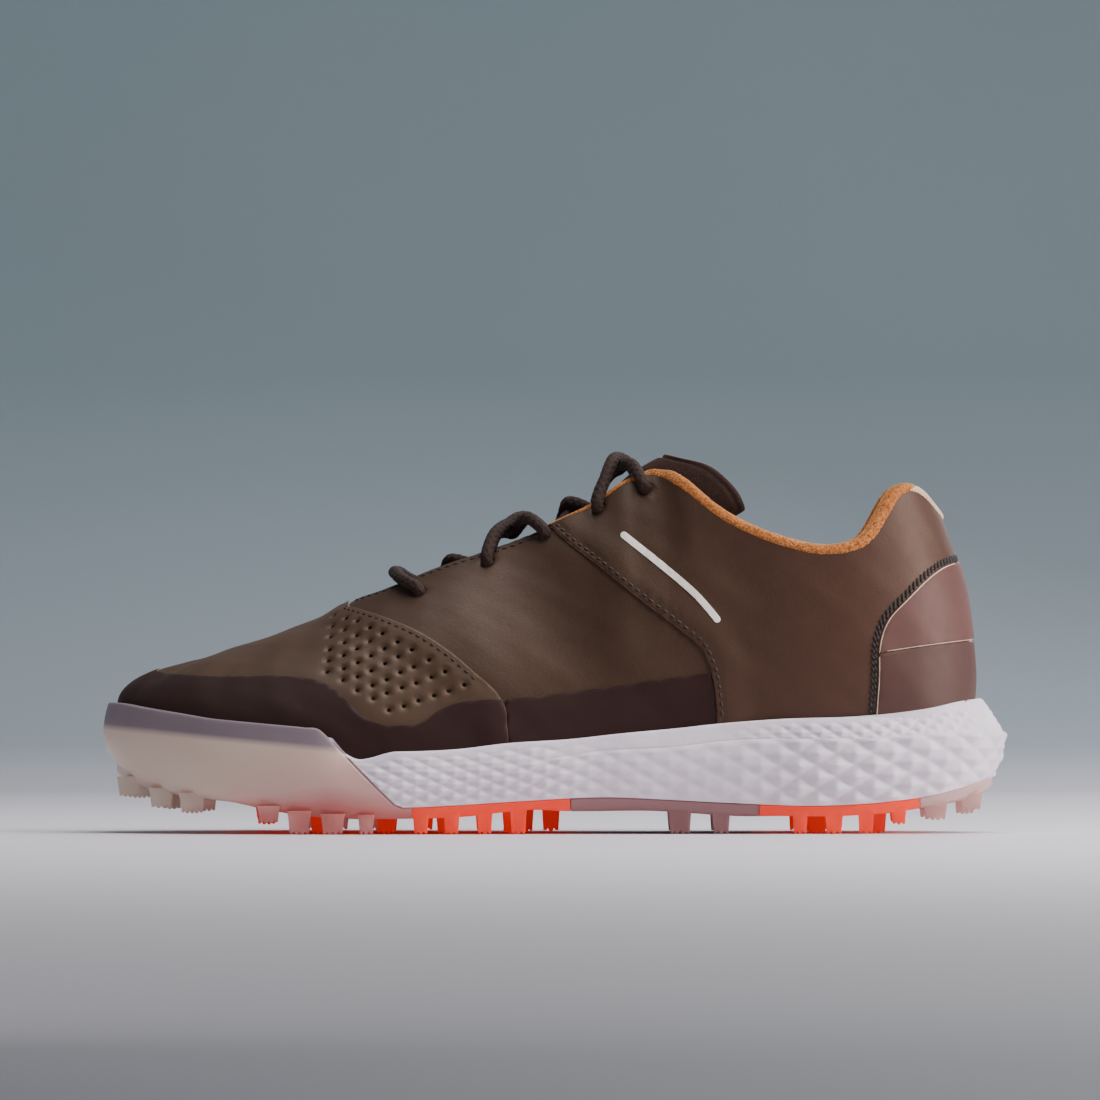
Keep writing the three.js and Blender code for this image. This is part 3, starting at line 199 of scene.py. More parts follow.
MIDSOLE_Z = height_curve([  # underside of the foam
    (-150, 28.4), (-146, 23.8), (-136.8, 19.3), (-115.4, 15.5), (-98, 12.6), (-88.7, 10.9),
    (-67.3, 9.1), (-50.2, 8.9), (-33.3, 9.6), (-12, 10.9), (19.8, 12.2), (35.6, 11.5),
    (58.8, 10.3), (89.4, 9.4), (112.9, 10.8), (128.2, 12.9), (135.9, 14.8), (149, 19.5),
    (156, 24)])
BITE_Z = height_curve([  # line where the sole meets the upper
    (-151.5, 43.6), (-147, 43.3), (-139, 42), (-127.3, 40.2), (-115.5, 38.4), (-103.8, 37.3),
    (-92.3, 36.3), (-83.7, 35.5), (-77.8, 34.6), (-74.9, 32), (-71.2, 27.8), (-51.7, 27.5),
    (-31.6, 28.3), (-15.5, 30.2), (5.7, 31.6), (22.2, 33.4), (42.3, 35.3), (52.1, 36.4),
    (76.6, 38.3), (101.1, 39.1), (128, 41.8), (141.5, 44), (151.5, 45)])
CREASE_Z = height_curve([  # crease along the foam side
    (-152, 31), (-100, 24.5), (-50, 21.2), (-14.8, 22.8), (15.5, 27.6), (37.6, 28.6),
    (60, 31.0), (90, 31.6), (110, 32), (128, 33.4), (147.5, 33.6), (152, 33.8)])
# (x, z) of the rear edge of the clear toe wrap, from the top down
WRAP_EDGE = np.array([(-77.8, 34.6), (-74.9, 32), (-71.2, 27.9), (-65.2, 21.5), (-58.1, 14.4),
                      (-53.1, 9.7), (-50.4, 8.7)])
# Lines drawn in side view: (x, z)
VAMP_SEAM = [
    (-68.5, 75.3), (-56.8, 71.9), (-45, 66.9), (-34.9, 60.5), (-24.9, 52.1), (-19.8, 47.7),
    (-18.1, 45.4), (-16.5, 42.7), (-15.7, 36), (-15.2, 29)]
QUARTER_SEAM = [
    (-3, 104.8), (2, 99.8), (15.5, 89), (28.9, 78), (42.3, 67.9), (49.1, 61.8), (52.1, 55.1),
    (53.8, 46), (54.4, 37), (54.7, 31)]
TOE_TOP = [
    (-139, 55.1), (-134.1, 53.8), (-122.3, 52.4), (-105.5, 52.1), (-88.7, 52.1), (-78.6, 50.7),
    (-73.6, 48.4), (-68.5, 43.7), (-63.5, 39), (-58.5, 36.6), (-50, 36), (-43.3, 37),
    (-38.3, 41), (-33.3, 43), (-18.1, 44.4), (-16.9, 44.4)]
SIDE_TOP = [(-15.6, 44.7), (2, 46.7), (22.2, 49.4), (39, 51.7), (52.3, 53.5)]
HEEL_FRONT = [
    (134.9, 90.9), (128, 87.4), (117.9, 78), (111.2, 70.6), (108.9, 64.5), (108.2, 51.1),
    (107.5, 40.3), (107.2, 33)]
HEEL_SPLIT = [(109.9, 60.4), (125, 62.6), (141.2, 64.6)]
LEATHER_EDGE = [
    (31, 121.3), (34.5, 120.2), (39.6, 118.3), (45.7, 113.9), (52.4, 108.2), (59.1, 103.8),
    (66.5, 100.1), (74.6, 97.1), (82.7, 94.8), (90.7, 93.7), (98.8, 94.8), (103.5, 96.6),
    (106.8, 99.6), (110.9, 106.2), (113.9, 111.2), (115.9, 113.6), (118.6, 114.9),
    (123, 113.7), (127, 109.9), (129.2, 107.4)]
STRIPE = [(23.4, 99.6), (28, 95.9), (33, 91.9), (38, 87.8), (43, 83.6), (47.4, 79.6),
          (51, 75.6), (54.4, 71.4)]
PERFORATIONS = [
    (-73.7, 72.5), (-69.4, 71.5), (-74.3, 69.4), (-65.6, 70.7), (-70.1, 68.2), (-61.4, 68.6),
    (-74.8, 66), (-65.9, 66.4), (-57.2, 66.7), (-70.1, 64), (-61.5, 64.5), (-52.1, 63.9),
    (-75, 61.7), (-65.8, 62), (-56.6, 62), (-47.3, 61.3), (-70.2, 59.8), (-61.1, 59.7),
    (-51.9, 59.3), (-41.6, 57.8), (-75.3, 58), (-65.4, 57.4), (-56.3, 57.1), (-46.7, 55.9),
    (-70.1, 55.4), (-60.9, 54.7), (-51.2, 54.1), (-36.2, 53.9), (-75.6, 54.3), (-65.4, 52.6),
    (-55.7, 51.7), (-45.8, 50.5), (-40.7, 52.4), (-70.2, 51.5), (-60.4, 49.7), (-50.6, 49),
    (-65.4, 48), (-55.6, 47.2), (-60.1, 45.3), (-29.8, 49.5), (-35, 47.8), (-39.8, 46.3),
    (-45, 44.6), (-49.8, 42.8), (-54.8, 41.4)]
EYELETS = [(-45, 80.6), (-22.5, 91.4), (-3, 100.5), (14.8, 108.9), (30.6, 115.3)]
# Half width of the throat opening: (x, distance from the ridge)
THROAT = [(-66.6, 0.01), (-66.1, 2.6), (-64, 5), (-58, 8.5), (-45, 10.5), (-20, 12), (5, 13.2),
          (16, 12.7), (24, 11.7), (31, 10.3)]
RIDGE_Y = height_curve([  # (x, y) of the ridge in plan
    (-160, 8), (-120, 7.2), (-95.5, 6.2), (-74, 5), (-41, 3.2), (-16, 2), (7, .9), (30, 0),
    (160, 0)])


# ------------------------------------------------------------------ surface of the upper
def plan_curves(table):
    return {side: spline([(k, *p) for k, p in zip(KNOTS, points)], (0, None), (0, None))
            for side, points in table.items()}


feather, outline = plan_curves(FEATHER), plan_curves(OUTLINE)
ridge = spline(TOPLINE, (0, 0, 0))
collar = spline(COLLAR, None, (0, None, 0))
handles = spline(HANDLES, (0, 0, 0, 0), (0, 0, 0, 0))
ridge_height = spline([(x, z) for _, x, _, z in TOPLINE])


def plan_normal(curves, side, s):
    """Outward normal of a plan outline."""
    d = curves[side](s, True)
    length = np.maximum(np.hypot(d[..., 0], d[..., 1]), 1e-9)
    nx, ny = d[..., 1] / length, -d[..., 0] / length
    return (nx, ny) if side == "L" else (-nx, -ny)


def raw_surface(side, s, t):
    """Bezier walls from the feather edge up to the ridge or the collar."""
    s, t = np.broadcast_arrays(np.asarray(s, float), np.asarray(t, float))
    base = feather[side](s)
    nx, ny = plan_normal(feather, side, s)
    low_out, low_up, high_out, high_down = np.moveaxis(handles(s), -1, 0)
    is_open = s > OPEN_S + 1e-9
    top = np.where(is_open[..., None], collar(np.maximum(s, OPEN_S)),
                   ridge(np.minimum(s, OPEN_S)))
    top_y = np.where(is_open & (side == "M"), -top[..., 1], top[..., 1])
    ridge_slope = ridge_height(top[..., 0], True)[..., 0]
    lift = np.where(is_open, 0, ridge_slope * nx * high_out * (1 - smooth(.60, OPEN_S, s)))
    base_z = BOARD_Z(base[..., 0])
    p0 = np.stack([base[..., 0], base[..., 1], base_z], -1)
    p1 = np.stack([base[..., 0] + nx * low_out, base[..., 1] + ny * low_out, base_z + low_up], -1)
    p2 = np.stack([top[..., 0] + nx * high_out, top_y + ny * high_out,
                   top[..., 2] - high_down + lift], -1)
    p3 = np.stack([top[..., 0], top_y, top[..., 2]], -1)
    u, t = (1 - t)[..., None], t[..., None]
    return u ** 3 * p0 + 3 * u * u * t * p1 + 3 * u * t * t * p2 + t ** 3 * p3


def surf(side, s, t):
    """The reference surface, levelled where the ridge gives way to the collar."""
    s, t = np.broadcast_arrays(np.asarray(s, float), np.asarray(t, float))
    points = raw_surface(side, s, t)
    near = np.abs(s - OPEN_S) < .085
    if near.any():
        near_s, near_t = s[near], t[near]
        width = .020 + .018 * (1 - smooth(.72, .98, near_t))
        reach = width * np.exp(-((near_s - OPEN_S) / width) ** 2)
        total = 0
        for k, weight in ((-1, 1), (-.66, 2), (-.33, 3), (0, 3), (.33, 3), (.66, 2), (1, 1)):
            total = total + weight * raw_surface(side, near_s + reach * k, near_t)
        points = points.copy()
        points[near] = total / 15
    return points


def tangents(side, s, t):
    """Change of the surface point per unit of s and of t."""
    s, t = np.asarray(s, float), np.asarray(t, float)
    s0, s1 = np.clip(s - 2e-3, 0, 1), np.clip(s + 2e-3, 0, 1)
    t0, t1 = np.clip(t - 2e-3, 0, 1), np.clip(t + 2e-3, 0, 1)
    per_s = (surf(side, s1, t) - surf(side, s0, t)) / np.maximum(s1 - s0, 1e-9)[..., None]
    per_t = (surf(side, s, t1) - surf(side, s, t0)) / np.maximum(t1 - t0, 1e-9)[..., None]
    return per_s, per_t


def normal(side, s, t):
    s, t = np.asarray(s, float), np.asarray(t, float)
    per_s, per_t = tangents(side, s, np.minimum(t, .998))
    # the two sides meet level at the toe and at the heel
    flat = (s <= 1e-6) | (s >= 1 - 1e-6)
    level = np.stack([0 * s, np.where(s < .5, -1.0, 1.0) * -OUTWARD[side], 0 * s], -1)
    n = np.cross(np.where(flat[..., None], level, per_s), per_t)
    return unit(-n if side == "M" else n)


def wobble(p, amount, scale, seed=0.0):
    """Smooth repeatable unevenness."""
    x, y, z = p[..., 0] / scale, p[..., 1] / scale, p[..., 2] / scale
    return amount * (np.sin(1.7 * x + 2.3 * z + seed) * np.cos(1.3 * y - 1.9 * z + 1.7 * seed)
                     + .6 * np.sin(3.1 * x - 2.2 * y + 2.9 * z + 2.1 * seed)
                     + .4 * np.cos(4.3 * z + 3.7 * x + 4.1 * y + seed)) / 2


def patch(p, x, z, across, along):
    """Soft slanted spot in side view."""
    dx, dz = p[..., 0] - x, p[..., 2] - z
    return np.exp(-((dx * .8 + dz * .6) / across) ** 2 - ((-dx * .6 + dz * .8) / along) ** 2)


def base_relief(side, p):
    """The upper sinks a little beside a low swell, and is slightly uneven all over."""
    hollow = patch(p, x=-3, z=76, across=17, along=26)
    swell = patch(p, x=-26, z=66, across=9, along=18)
    dent = (-2.6 * hollow + .6 * swell) * (1 if side == "L" else .7)
    return dent + wobble(p, .22, 17.0) + wobble(p, .12, 8.0, 2.0)


def place(side, s, t, height=0):
    """Points at a height above the reference surface, relief included."""
    p = surf(side, s, t)
    relief = base_relief(side, p) * smooth(0, .12, t)
    return p + normal(side, s, t) * (relief + height)[..., None]


# ------------------------------------------------------------------ lines in (s, t)
GRID_S, GRID_T = (g.ravel() for g in np.meshgrid(np.linspace(0, 1, 401), np.linspace(0, 1, 101),
                                                 indexing="ij"))
GRID = {side: surf(side, GRID_S, GRID_T) for side in SIDES}


def invert(side, points, axes=(0, 2), smax=1.0, tmin=0.0):
    """(s, t) of the surface points nearest to the given points in the plane of two axes."""
    points = np.array(points, float)
    allowed = (GRID_S <= smax) & (GRID_T >= tmin)
    grid = GRID[side][allowed][:, axes]
    nearest = [np.argmin(((grid - p) ** 2).sum(1)) for p in points]
    s, t = GRID_S[allowed][nearest], GRID_T[allowed][nearest]
    for _ in range(8):
        miss = points - surf(side, s, t)[:, axes]
        per_s, per_t = tangents(side, s, t)
        a, b = per_s[:, axes[0]], per_t[:, axes[0]]
        c, d = per_s[:, axes[1]], per_t[:, axes[1]]
        det = a * d - b * c
        det = np.where(np.abs(det) < 50, np.sign(det + 1e-9) * 50, det)
        ds = (d * miss[:, 0] - b * miss[:, 1]) / det
        dt = (-c * miss[:, 0] + a * miss[:, 1]) / det
        s = np.clip(s + np.clip(ds, -.01, .01), 0, 1)
        t = np.clip(t + np.clip(dt, -.02, .02), 0, 1)
    return np.stack([s, t], -1)


def on_side(side, points, step=1.0, smax=1.0):
    """Side-view line laid on the surface."""
    return invert(side, curved(points, step), smax=smax)


def throat_line(side):
    line = curved([(x, OUTWARD[side] * width) for x, width in THROAT], 1.2)
    line[:, 1] += RIDGE_Y(line[:, 0])
    return invert(side, line, axes=(0, 1), smax=.7, tmin=.55)


def level_line(s0, s1, t):
    count = max(2, int(abs(s1 - s0) / .004) + 1)
    return np.stack([np.linspace(s0, s1, count), np.full(count, t)], -1)


def rising_line(s, t0, t1):
    count = max(2, int(abs(t1 - t0) / .02) + 1)
    return np.stack([np.full(count, s), np.linspace(t0, t1, count)], -1)


def to_bottom(line):
    """Carry a line straight down to the bottom edge."""
    return np.vstack([line, [line[-1, 0], 0.0]]) if line[-1, 1] > 1e-6 else line


def respace(line, step):
    return resample(line * SPAN, step) / SPAN


def st_gap(a, b):
    """Distance between (s, t) points, in rough millimetres."""
    return np.hypot(*((a - b) * SPAN).T)


def join(*lines):
    """Outline from lines laid end to end, without doubled points."""
    out = []
    for line in lines:
        for p in line:
            if not out or st_gap(out[-1], p) > .08:
                out.append(p)
    if st_gap(out[0], out[-1]) < .08:
        out.pop()
    return np.array(out)


def st_step(ss, st, tt, along_s, along_t):
    """(s, t) step of a surface vector, from its and the tangents' dot products."""
    det = np.maximum(ss * tt - st * st, 1e-6)
    return np.stack([(tt * along_s - st * along_t) / det, (ss * along_t - st * along_s) / det], -1)


def st_steps(per_s, per_t, vectors):
    def dot(a, b):
        return (a * b).sum(1)
    return st_step(dot(per_s, per_s), dot(per_s, per_t), dot(per_t, per_t),
                   dot(per_s, vectors), dot(per_t, vectors))


def across_line(side, line):
    """Vectors over the surface, square to a line."""
    return np.cross(normal(side, *line.T), np.gradient(surf(side, *line.T), axis=0))


def shift(side, line, distance):
    """Move a line sideways over the surface, the same way on both sides of the shoe.

    Positive is towards the heel for a line walked downwards, upwards for one walked heelwards."""
    w = across_line(side, line)
    signed = -OUTWARD[side] * distance
    w *= signed / np.maximum(np.linalg.norm(w, axis=1), 1e-9)[:, None]
    return np.clip(line + st_steps(*tangents(side, *line.T), w), 0, 1)


def s_at_x(x, s0, s1, t):
    """s where the lateral line of constant t passes x."""
    s = np.linspace(s0, s1, 400)
    return float(np.interp(x, surf("L", s, t)[:, 0], s))


def t_at_z(s, z):
    """t where the lateral line of constant s reaches z."""
    t = np.linspace(0, 1, 800)
    return float(np.interp(z, surf("L", np.full(800, s), t)[:, 2], t))


# ------------------------------------------------------------------ mesh output
def sharp_edges(mesh, degrees):
    bm = bmesh.new()
    bm.from_mesh(mesh)
    limit = math.radians(degrees)
    for e in bm.edges:
        e.smooth = not (len(e.link_faces) == 2 and e.calc_face_angle(0) > limit)
    bm.to_mesh(mesh)
    bm.free()


def shade_smooth(mesh, sharp_above=None):
    mesh.polygons.foreach_set("use_smooth", [True] * len(mesh.polygons))
    if sharp_above is not None:
        sharp_edges(mesh, sharp_above)


def new_object(name, points, faces, smooth_shade=True, sharp_above=None):
    mesh = bpy.data.meshes.new(name)
    faces = [tuple(int(i) for i in f) for f in faces]
    mesh.from_pydata((np.asarray(points, float) * MM).tolist(), [], faces)
    mesh.validate()
    mesh.update()
    ob = bpy.data.objects.new(name, mesh)
    bpy.context.scene.collection.objects.link(ob)
    if smooth_shade:
        shade_smooth(mesh, sharp_above)
    return ob


def fix_normals(ob):
    bm = bmesh.new()
    bm.from_mesh(ob.data)
    bmesh.ops.recalc_face_normals(bm, faces=bm.faces)
    bm.to_mesh(ob.data)
    bm.free()
    return ob


def ring_faces(rings, sides):
    """Faces of a capped tube of rings."""
    faces = [(k * sides + j, k * sides + (j + 1) % sides,
              (k + 1) * sides + (j + 1) % sides, (k + 1) * sides + j)
             for k in range(rings - 1) for j in range(sides)]
    faces.append(tuple(range(sides))[::-1])
    faces.append(tuple((rings - 1) * sides + j for j in range(sides)))
    return faces


def inside(polygon, points):
    """Which points lie inside a polygon."""
    result = np.zeros(len(points), bool)
    low, high = polygon.min(0), polygon.max(0)
    near = np.where(((points >= low) & (points <= high)).all(1))[0]
    if not len(near):
        return result
    x, y = points[near, 0], points[near, 1]
    odd = np.zeros(len(near), bool)
    for (x0, y0), (x1, y1) in zip(polygon, np.roll(polygon, -1, axis=0)):
        if y0 != y1:
            odd ^= ((y0 > y) != (y1 > y)) & (x < (x1 - x0) * (y - y0) / (y1 - y0) + x0)
    result[near] = odd
    return result


def point_tree(points):
    tree = KDTree(len(points))
    for i, p in enumerate(points):
        tree.insert(p, i)
    tree.balance()
    return tree


def distances(tree, points):
    return np.array([tree.find(p)[2] for p in points])


def merge_points(points, size):
    """First of each group of points in the same cell, and the group of every point."""
    cells = np.round(points / size).astype(np.int64)
    _, first, group = np.unique(cells, axis=0, return_index=True, return_inverse=True)
    return first, group.reshape(-1)


# ------------------------------------------------------------------ panels of the upper
def border_rings(side, borders, rings):
    """(distance, points) of lines that follow the borders of one side."""
    out = []
    for border_side, line in borders:
        if border_side != side:
            continue
        per_s, per_t = tangents(side, *line.T)
        inward = unit(across_line(side, line))
        for sign in (1, -1):
            for distance in rings:
                steps = st_steps(per_s, per_t, inward * distance * sign)
                out.append((distance, line + steps))
    return out


def hole_circles(side, hole, radii, sides):
    """Circles of points around a hole; those after the first are turned by their radius."""
    spot = np.array([hole]).T
    per_s, per_t = (v[0] for v in tangents(side, *spot))
    e1 = per_s / np.linalg.norm(per_s)
    e2 = np.cross(normal(side, *spot)[0], e1)
    out = []
    for k, radius in enumerate(radii):
        angle = np.arange(sides) * 2 * math.pi / sides + (radius if k else 0)
        w = radius * (np.cos(angle)[:, None] * e1 + np.sin(angle)[:, None] * e2)
        out.append(np.array(hole) + st_step(per_s @ per_s, per_s @ per_t, per_t @ per_t,
                                            w @ per_s, w @ per_t))
    return out


class Sheet:
    """A panel: outlines in (s, t), finely triangulated, with thickness and rounded edges.

    outlines: (side, closed polygon). borders: (side, open line) that are real edges; lines that
    two outlines share are welded. rings: distances of the mesh lines beside the borders.
    holes: side -> (s, t) of hole centres. dimple: width of the hollow around a hole."""

    def __init__(self, outlines, borders, spacing, radius, rings,
                 holes=None, hole_radius=0, dimple=0, hole_sides=0):
        self.radius, self.hole_radius, self.dimple = radius, hole_radius, dimple
        self.spacing, self.borders, self.rings = spacing, borders, rings
        self.hole_sides = hole_sides
        holes = holes or {}
        edge_tree = point_tree(np.vstack([resample(place(sd, *line.T), .35)
                                          for sd, line in borders]))
        side, st, faces = [], [], []
        for sd, polygon in outlines:
            part, triangles = self.triangulate(sd, polygon, holes.get(sd, ()))
            faces.append(triangles + len(side))
            side += [sd] * len(part)
            st.append(part)
        self.weld(np.array(side), np.vstack(st), np.vstack(faces))
        self.lay()
        self.edge_distance = distances(edge_tree, self.skin)
        self.hole_distance = None
        if holes:
            centres = np.vstack([place(sd, *np.array(h).T) for sd, h in holes.items()])
            self.hole_distance = distances(point_tree(centres), self.skin)

    def triangulate(self, side, polygon, holes):
        """(s, t) points and triangles of one outline."""
        spacing = self.spacing
        outer = polygon * SPAN
        points = [outer]
        edges = [(i, (i + 1) % len(polygon)) for i in range(len(polygon))]
        count = len(polygon)
        extra = border_rings(side, self.borders, self.rings)
        hole_loops = []
        margins = (0, .3, .75, 1.3, 2.0) if self.dimple > 0 else (0, .3, .75)
        for hole in holes:
            loop, *around = hole_circles(side, hole, [self.hole_radius + m for m in margins],
                                         self.hole_sides)
            hole_loops.append(loop * SPAN)
            points.append(loop * SPAN)
            sides = len(loop)
            edges += [(count + i, count + (i + 1) % sides) for i in range(sides)]
            count += sides
            extra += [(.35, q) for q in around]

        def in_panel(q):
            ok = inside(outer, q)
            for loop in hole_loops:
                ok &= ~inside(loop, q)
            return ok

        taken = list(np.vstack([place(side, *np.clip(p / SPAN, 0, 1).T) for p in points]))
        tree = point_tree(taken)
        for distance, q in sorted(extra, key=lambda entry: entry[0]):
            q = q[in_panel(q * SPAN) & (q >= 0).all(1) & (q <= 1).all(1)]
            placed = place(side, *q.T)
            clearance = max(.16, .62 * distance) if distance < spacing else .6 * spacing
            last, kept = None, []
            for i, p in enumerate(placed):
                if (tree.find(p)[2] > min(clearance, .9)
                        and (last is None or np.linalg.norm(p - last) > .5)):
                    kept.append(i)
                    last = p
            if kept:
                points.append(q[kept] * SPAN)
                taken += list(placed[kept])
                tree = point_tree(taken)
        low, high = polygon.min(0), polygon.max(0)
        axes = [np.linspace(low[i], high[i], int((high[i] - low[i]) * SPAN[i] / spacing) + 2)
                for i in (0, 1)]
        grid = np.stack([g.ravel() for g in np.meshgrid(*axes, indexing="ij")], -1)
        grid = grid[in_panel(grid * SPAN)]
        points.append(grid[distances(tree, place(side, *grid.T)) > .55 * spacing] * SPAN)
        result = delaunay_2d_cdt([Vector(p) for p in np.vstack(points)], edges, [], 1, 1e-6, False)
        plane = np.array([[v.x, v.y] for v in result[0]])
        triangles = np.array([f for f in result[2] if len(f) == 3])
        triangles = triangles[in_panel(plane[triangles].mean(1))]
        a = plane[triangles]
        area = ((a[:, 1, 0] - a[:, 0, 0]) * (a[:, 2, 1] - a[:, 0, 1])
                - (a[:, 1, 1] - a[:, 0, 1]) * (a[:, 2, 0] - a[:, 0, 0]))
        triangles = np.where((area < 0)[:, None], triangles[:, ::-1], triangles)
        triangles = triangles[np.abs(area) > 1e-7]
        if side == "M":
            triangles = triangles[:, ::-1]
        return np.clip(plane / SPAN, 0, 1), triangles

    def weld(self, side, st, faces):
        """Join points that coincide on the surface and drop unused ones."""
        points = np.zeros((len(st), 3))
        for sd in SIDES:
            mine = side == sd
            if mine.any():
                points[mine] = surf(sd, *st[mine].T)
        first, group = merge_points(points, 2e-3)
        f = group[faces]
        f = f[(f[:, 0] != f[:, 1]) & (f[:, 1] != f[:, 2]) & (f[:, 0] != f[:, 2])]
        used = np.unique(f)
        renumber = np.full(len(first), -1)
        renumber[used] = np.arange(len(used))
        self.side, self.st, self.faces = side[first][used], st[first][used], renumber[f]

    def lay(self):
        """Surface points, normals and relief of every vertex."""
        count = len(self.st)
        self.points, self.normals = np.zeros((count, 3)), np.zeros((count, 3))
        self.relief = np.zeros(count)
        for sd in SIDES:
            k = self.side == sd
            if k.any():
                self.points[k] = surf(sd, *self.st[k].T)
                self.normals[k] = normal(sd, *self.st[k].T)
                self.relief[k] = (base_relief(sd, self.points[k])
                                  * smooth(0, .12, self.st[k, 1]))
        # level the normals across the ridge
        on_ridge = (self.st[:, 1] > .9995) & (self.st[:, 0] <= OPEN_S + 1e-6)
        for i in np.where(on_ridge)[0]:
            n = sum(normal(sd, *self.st[i:i + 1].T)[0] for sd in SIDES)
            self.normals[i] = n / np.linalg.norm(n)
        self.skin = self.points + self.normals * self.relief[:, None]

    def build(self, name, outer, thick, grooves=(), cut_reach=0.0):
        """outer: height of the face above the surface. grooves: (side, line, depth, width).
        cut_reach: how far from a border faces take the second, cut-edge material."""
        outer = np.broadcast_to(np.asarray(outer, float), self.edge_distance.shape).copy()
        groove = np.zeros(len(outer))
        for sd, line, depth, width in grooves:
            d = distances(point_tree(resample(place(sd, *line.T), .3)), self.skin)
            groove = np.maximum(groove, depth * np.exp(-(d / width) ** 2))
        height = outer - self.radius * .9 * (1 - rounded(self.edge_distance, self.radius))
        if self.hole_distance is not None:
            width, depth, power = (self.dimple, .62, 2.2) if self.dimple > 0 else (.7, .35, 2)
            x = np.clip((self.hole_distance - self.hole_radius) / width, 0, 1)
            height -= depth * (1 - x) ** power
        height -= groove
        top = self.points + self.normals * (self.relief + height)[:, None]
        low = self.points + self.normals * (self.relief + outer - thick)[:, None]
        n = len(top)
        edges = dict.fromkeys((a, b) for f in self.faces
                              for a, b in ((f[0], f[1]), (f[1], f[2]), (f[2], f[0])))
        faces = [tuple(f) for f in self.faces] + [tuple(f[::-1] + n) for f in self.faces]
        faces += [(b, a, a + n, b + n) for a, b in edges if (b, a) not in edges]
        ob = new_object(name, np.vstack([top, low]), faces, sharp_above=50)
        if cut_reach > 0:
            near = np.r_[self.edge_distance < cut_reach, np.zeros(n, bool)]
            indices = [int(k >= 2 * len(self.faces) or all(near[v] for v in f))
                       for k, f in enumerate(faces)]
            # the mesh check may have dropped faces, and then the list no longer fits
            if len(indices) == len(ob.data.polygons):
                ob.data.polygons.foreach_set("material_index", indices)
        return ob


def band(sheet, lines, full, none):
    """1 near the given (side, line) pairs, falling to 0 between two distances."""
    tree = point_tree(np.vstack([resample(surf(sd, *line.T), .6) for sd, line in lines]))
    return 1 - smooth(full, none, distances(tree, sheet.points))


# ------------------------------------------------------------------ materials
BLACK, WHITE = (0, 0, 0, 1), (1, 1, 1, 1)


def srgb(*channels):
    def linear(c):
        return c / 12.92 if c <= .04045 else ((c + .055) / 1.055) ** 2.4
    return (*(linear(c / 255) for c in channels), 1)


def shade(colour, k):
    return (colour[0] * k, colour[1] * k, colour[2] * k, 1)


class Mat:
    """Small helper to build a node material."""

    def __init__(self, name):
        self.material = bpy.data.materials.new(name)
        self.material.use_nodes = True
        self.tree = self.material.node_tree
        self.bsdf = self.tree.nodes["Principled BSDF"]
        self.coord = self.node("ShaderNodeTexCoord").outputs["Object"]

    def feed(self, socket, value):
        """Link a socket, or set a plain value."""
        if isinstance(value, bpy.types.NodeSocket):
            self.tree.links.new(value, socket)
        else:
            socket.default_value = value

    def node(self, kind, inputs=(), **settings):
        """New node; inputs maps input names or numbers to sockets or values."""
        node = self.tree.nodes.new(kind)
        for key, value in settings.items():
            setattr(node, key, value)
        for key, value in dict(inputs).items():
            self.feed(node.inputs[key], value)
        return node

    def noise(self, scale, detail=3, rough=.55):
        return self.node("ShaderNodeTexNoise", {
            "Scale": scale, "Detail": detail, "Roughness": rough,
            "Vector": self.coord}).outputs["Fac"]

    def cells(self, scale, feature="SMOOTH_F1"):
        return self.node("ShaderNodeTexVoronoi", {"Scale": scale, "Vector": self.coord},
                         feature=feature).outputs["Distance"]

    def wave(self, direction, scale, distortion, vector):
        return self.node("ShaderNodeTexWave", {
            "Scale": scale, "Distortion": distortion, "Vector": vector},
            wave_type="BANDS", bands_direction=direction).outputs["Fac"]

    def ramp(self, value, *stops):
        """stops: (position, colour)."""
        node = self.node("ShaderNodeValToRGB", {"Fac": value})
        elements = node.color_ramp.elements
        while len(elements) < len(stops):
            elements.new(.5)
        for element, (position, colour) in zip(elements, stops):
            element.position = position
            element.color = colour
        return node.outputs["Color"]

    def mix(self, factor, a, b):
        return self.node("ShaderNodeMix", {0: factor, 6: a, 7: b}, data_type="RGBA").outputs[2]

    def patches(self, value, a, b, low=.3, high=.7):
        """Colour going from a to b as value goes from low to high."""
        return self.mix(self.ramp(value, (low, BLACK), (high, WHITE)), a, b)

    def math(self, operation, a, b=0.0, clamp=False):
        return self.node("ShaderNodeMath", {0: a, 1: b}, operation=operation,
                         use_clamp=clamp).outputs[0]

    def add(self, a, b):
        return self.math("ADD", a, b)

    def times(self, a, b, clamp=False):
        return self.math("MULTIPLY", a, b, clamp)

    def scaled(self, value, factor, offset):
        return self.add(self.times(value, factor), offset)

    def slope(self, value, start, rate):
        """0 to 1, rising at a rate once value passes start."""
        return self.times(self.math("SUBTRACT", value, start), rate, clamp=True)

    def bump(self, height, strength, distance, below=None):
        inputs = {"Strength": strength, "Distance": distance, "Height": height}
        if below is not None:
            inputs["Normal"] = below
        return self.node("ShaderNodeBump", inputs).outputs["Normal"]

    def mix_shader(self, factor, a, b):
        return self.node("ShaderNodeMixShader", {0: factor, 1: a, 2: b}).outputs[0]

    def surface(self, shader):
        self.feed(self.tree.nodes["Material Output"].inputs["Surface"], shader)

    def set(self, **inputs):
        """Principled inputs, with underscores for spaces."""
        for key, value in inputs.items():
            self.feed(self.bsdf.inputs[key.replace("_", " ")], value)
        return self.material

    def position(self):
        return self.node("ShaderNodeSeparateXYZ", {0: self.coord}).outputs


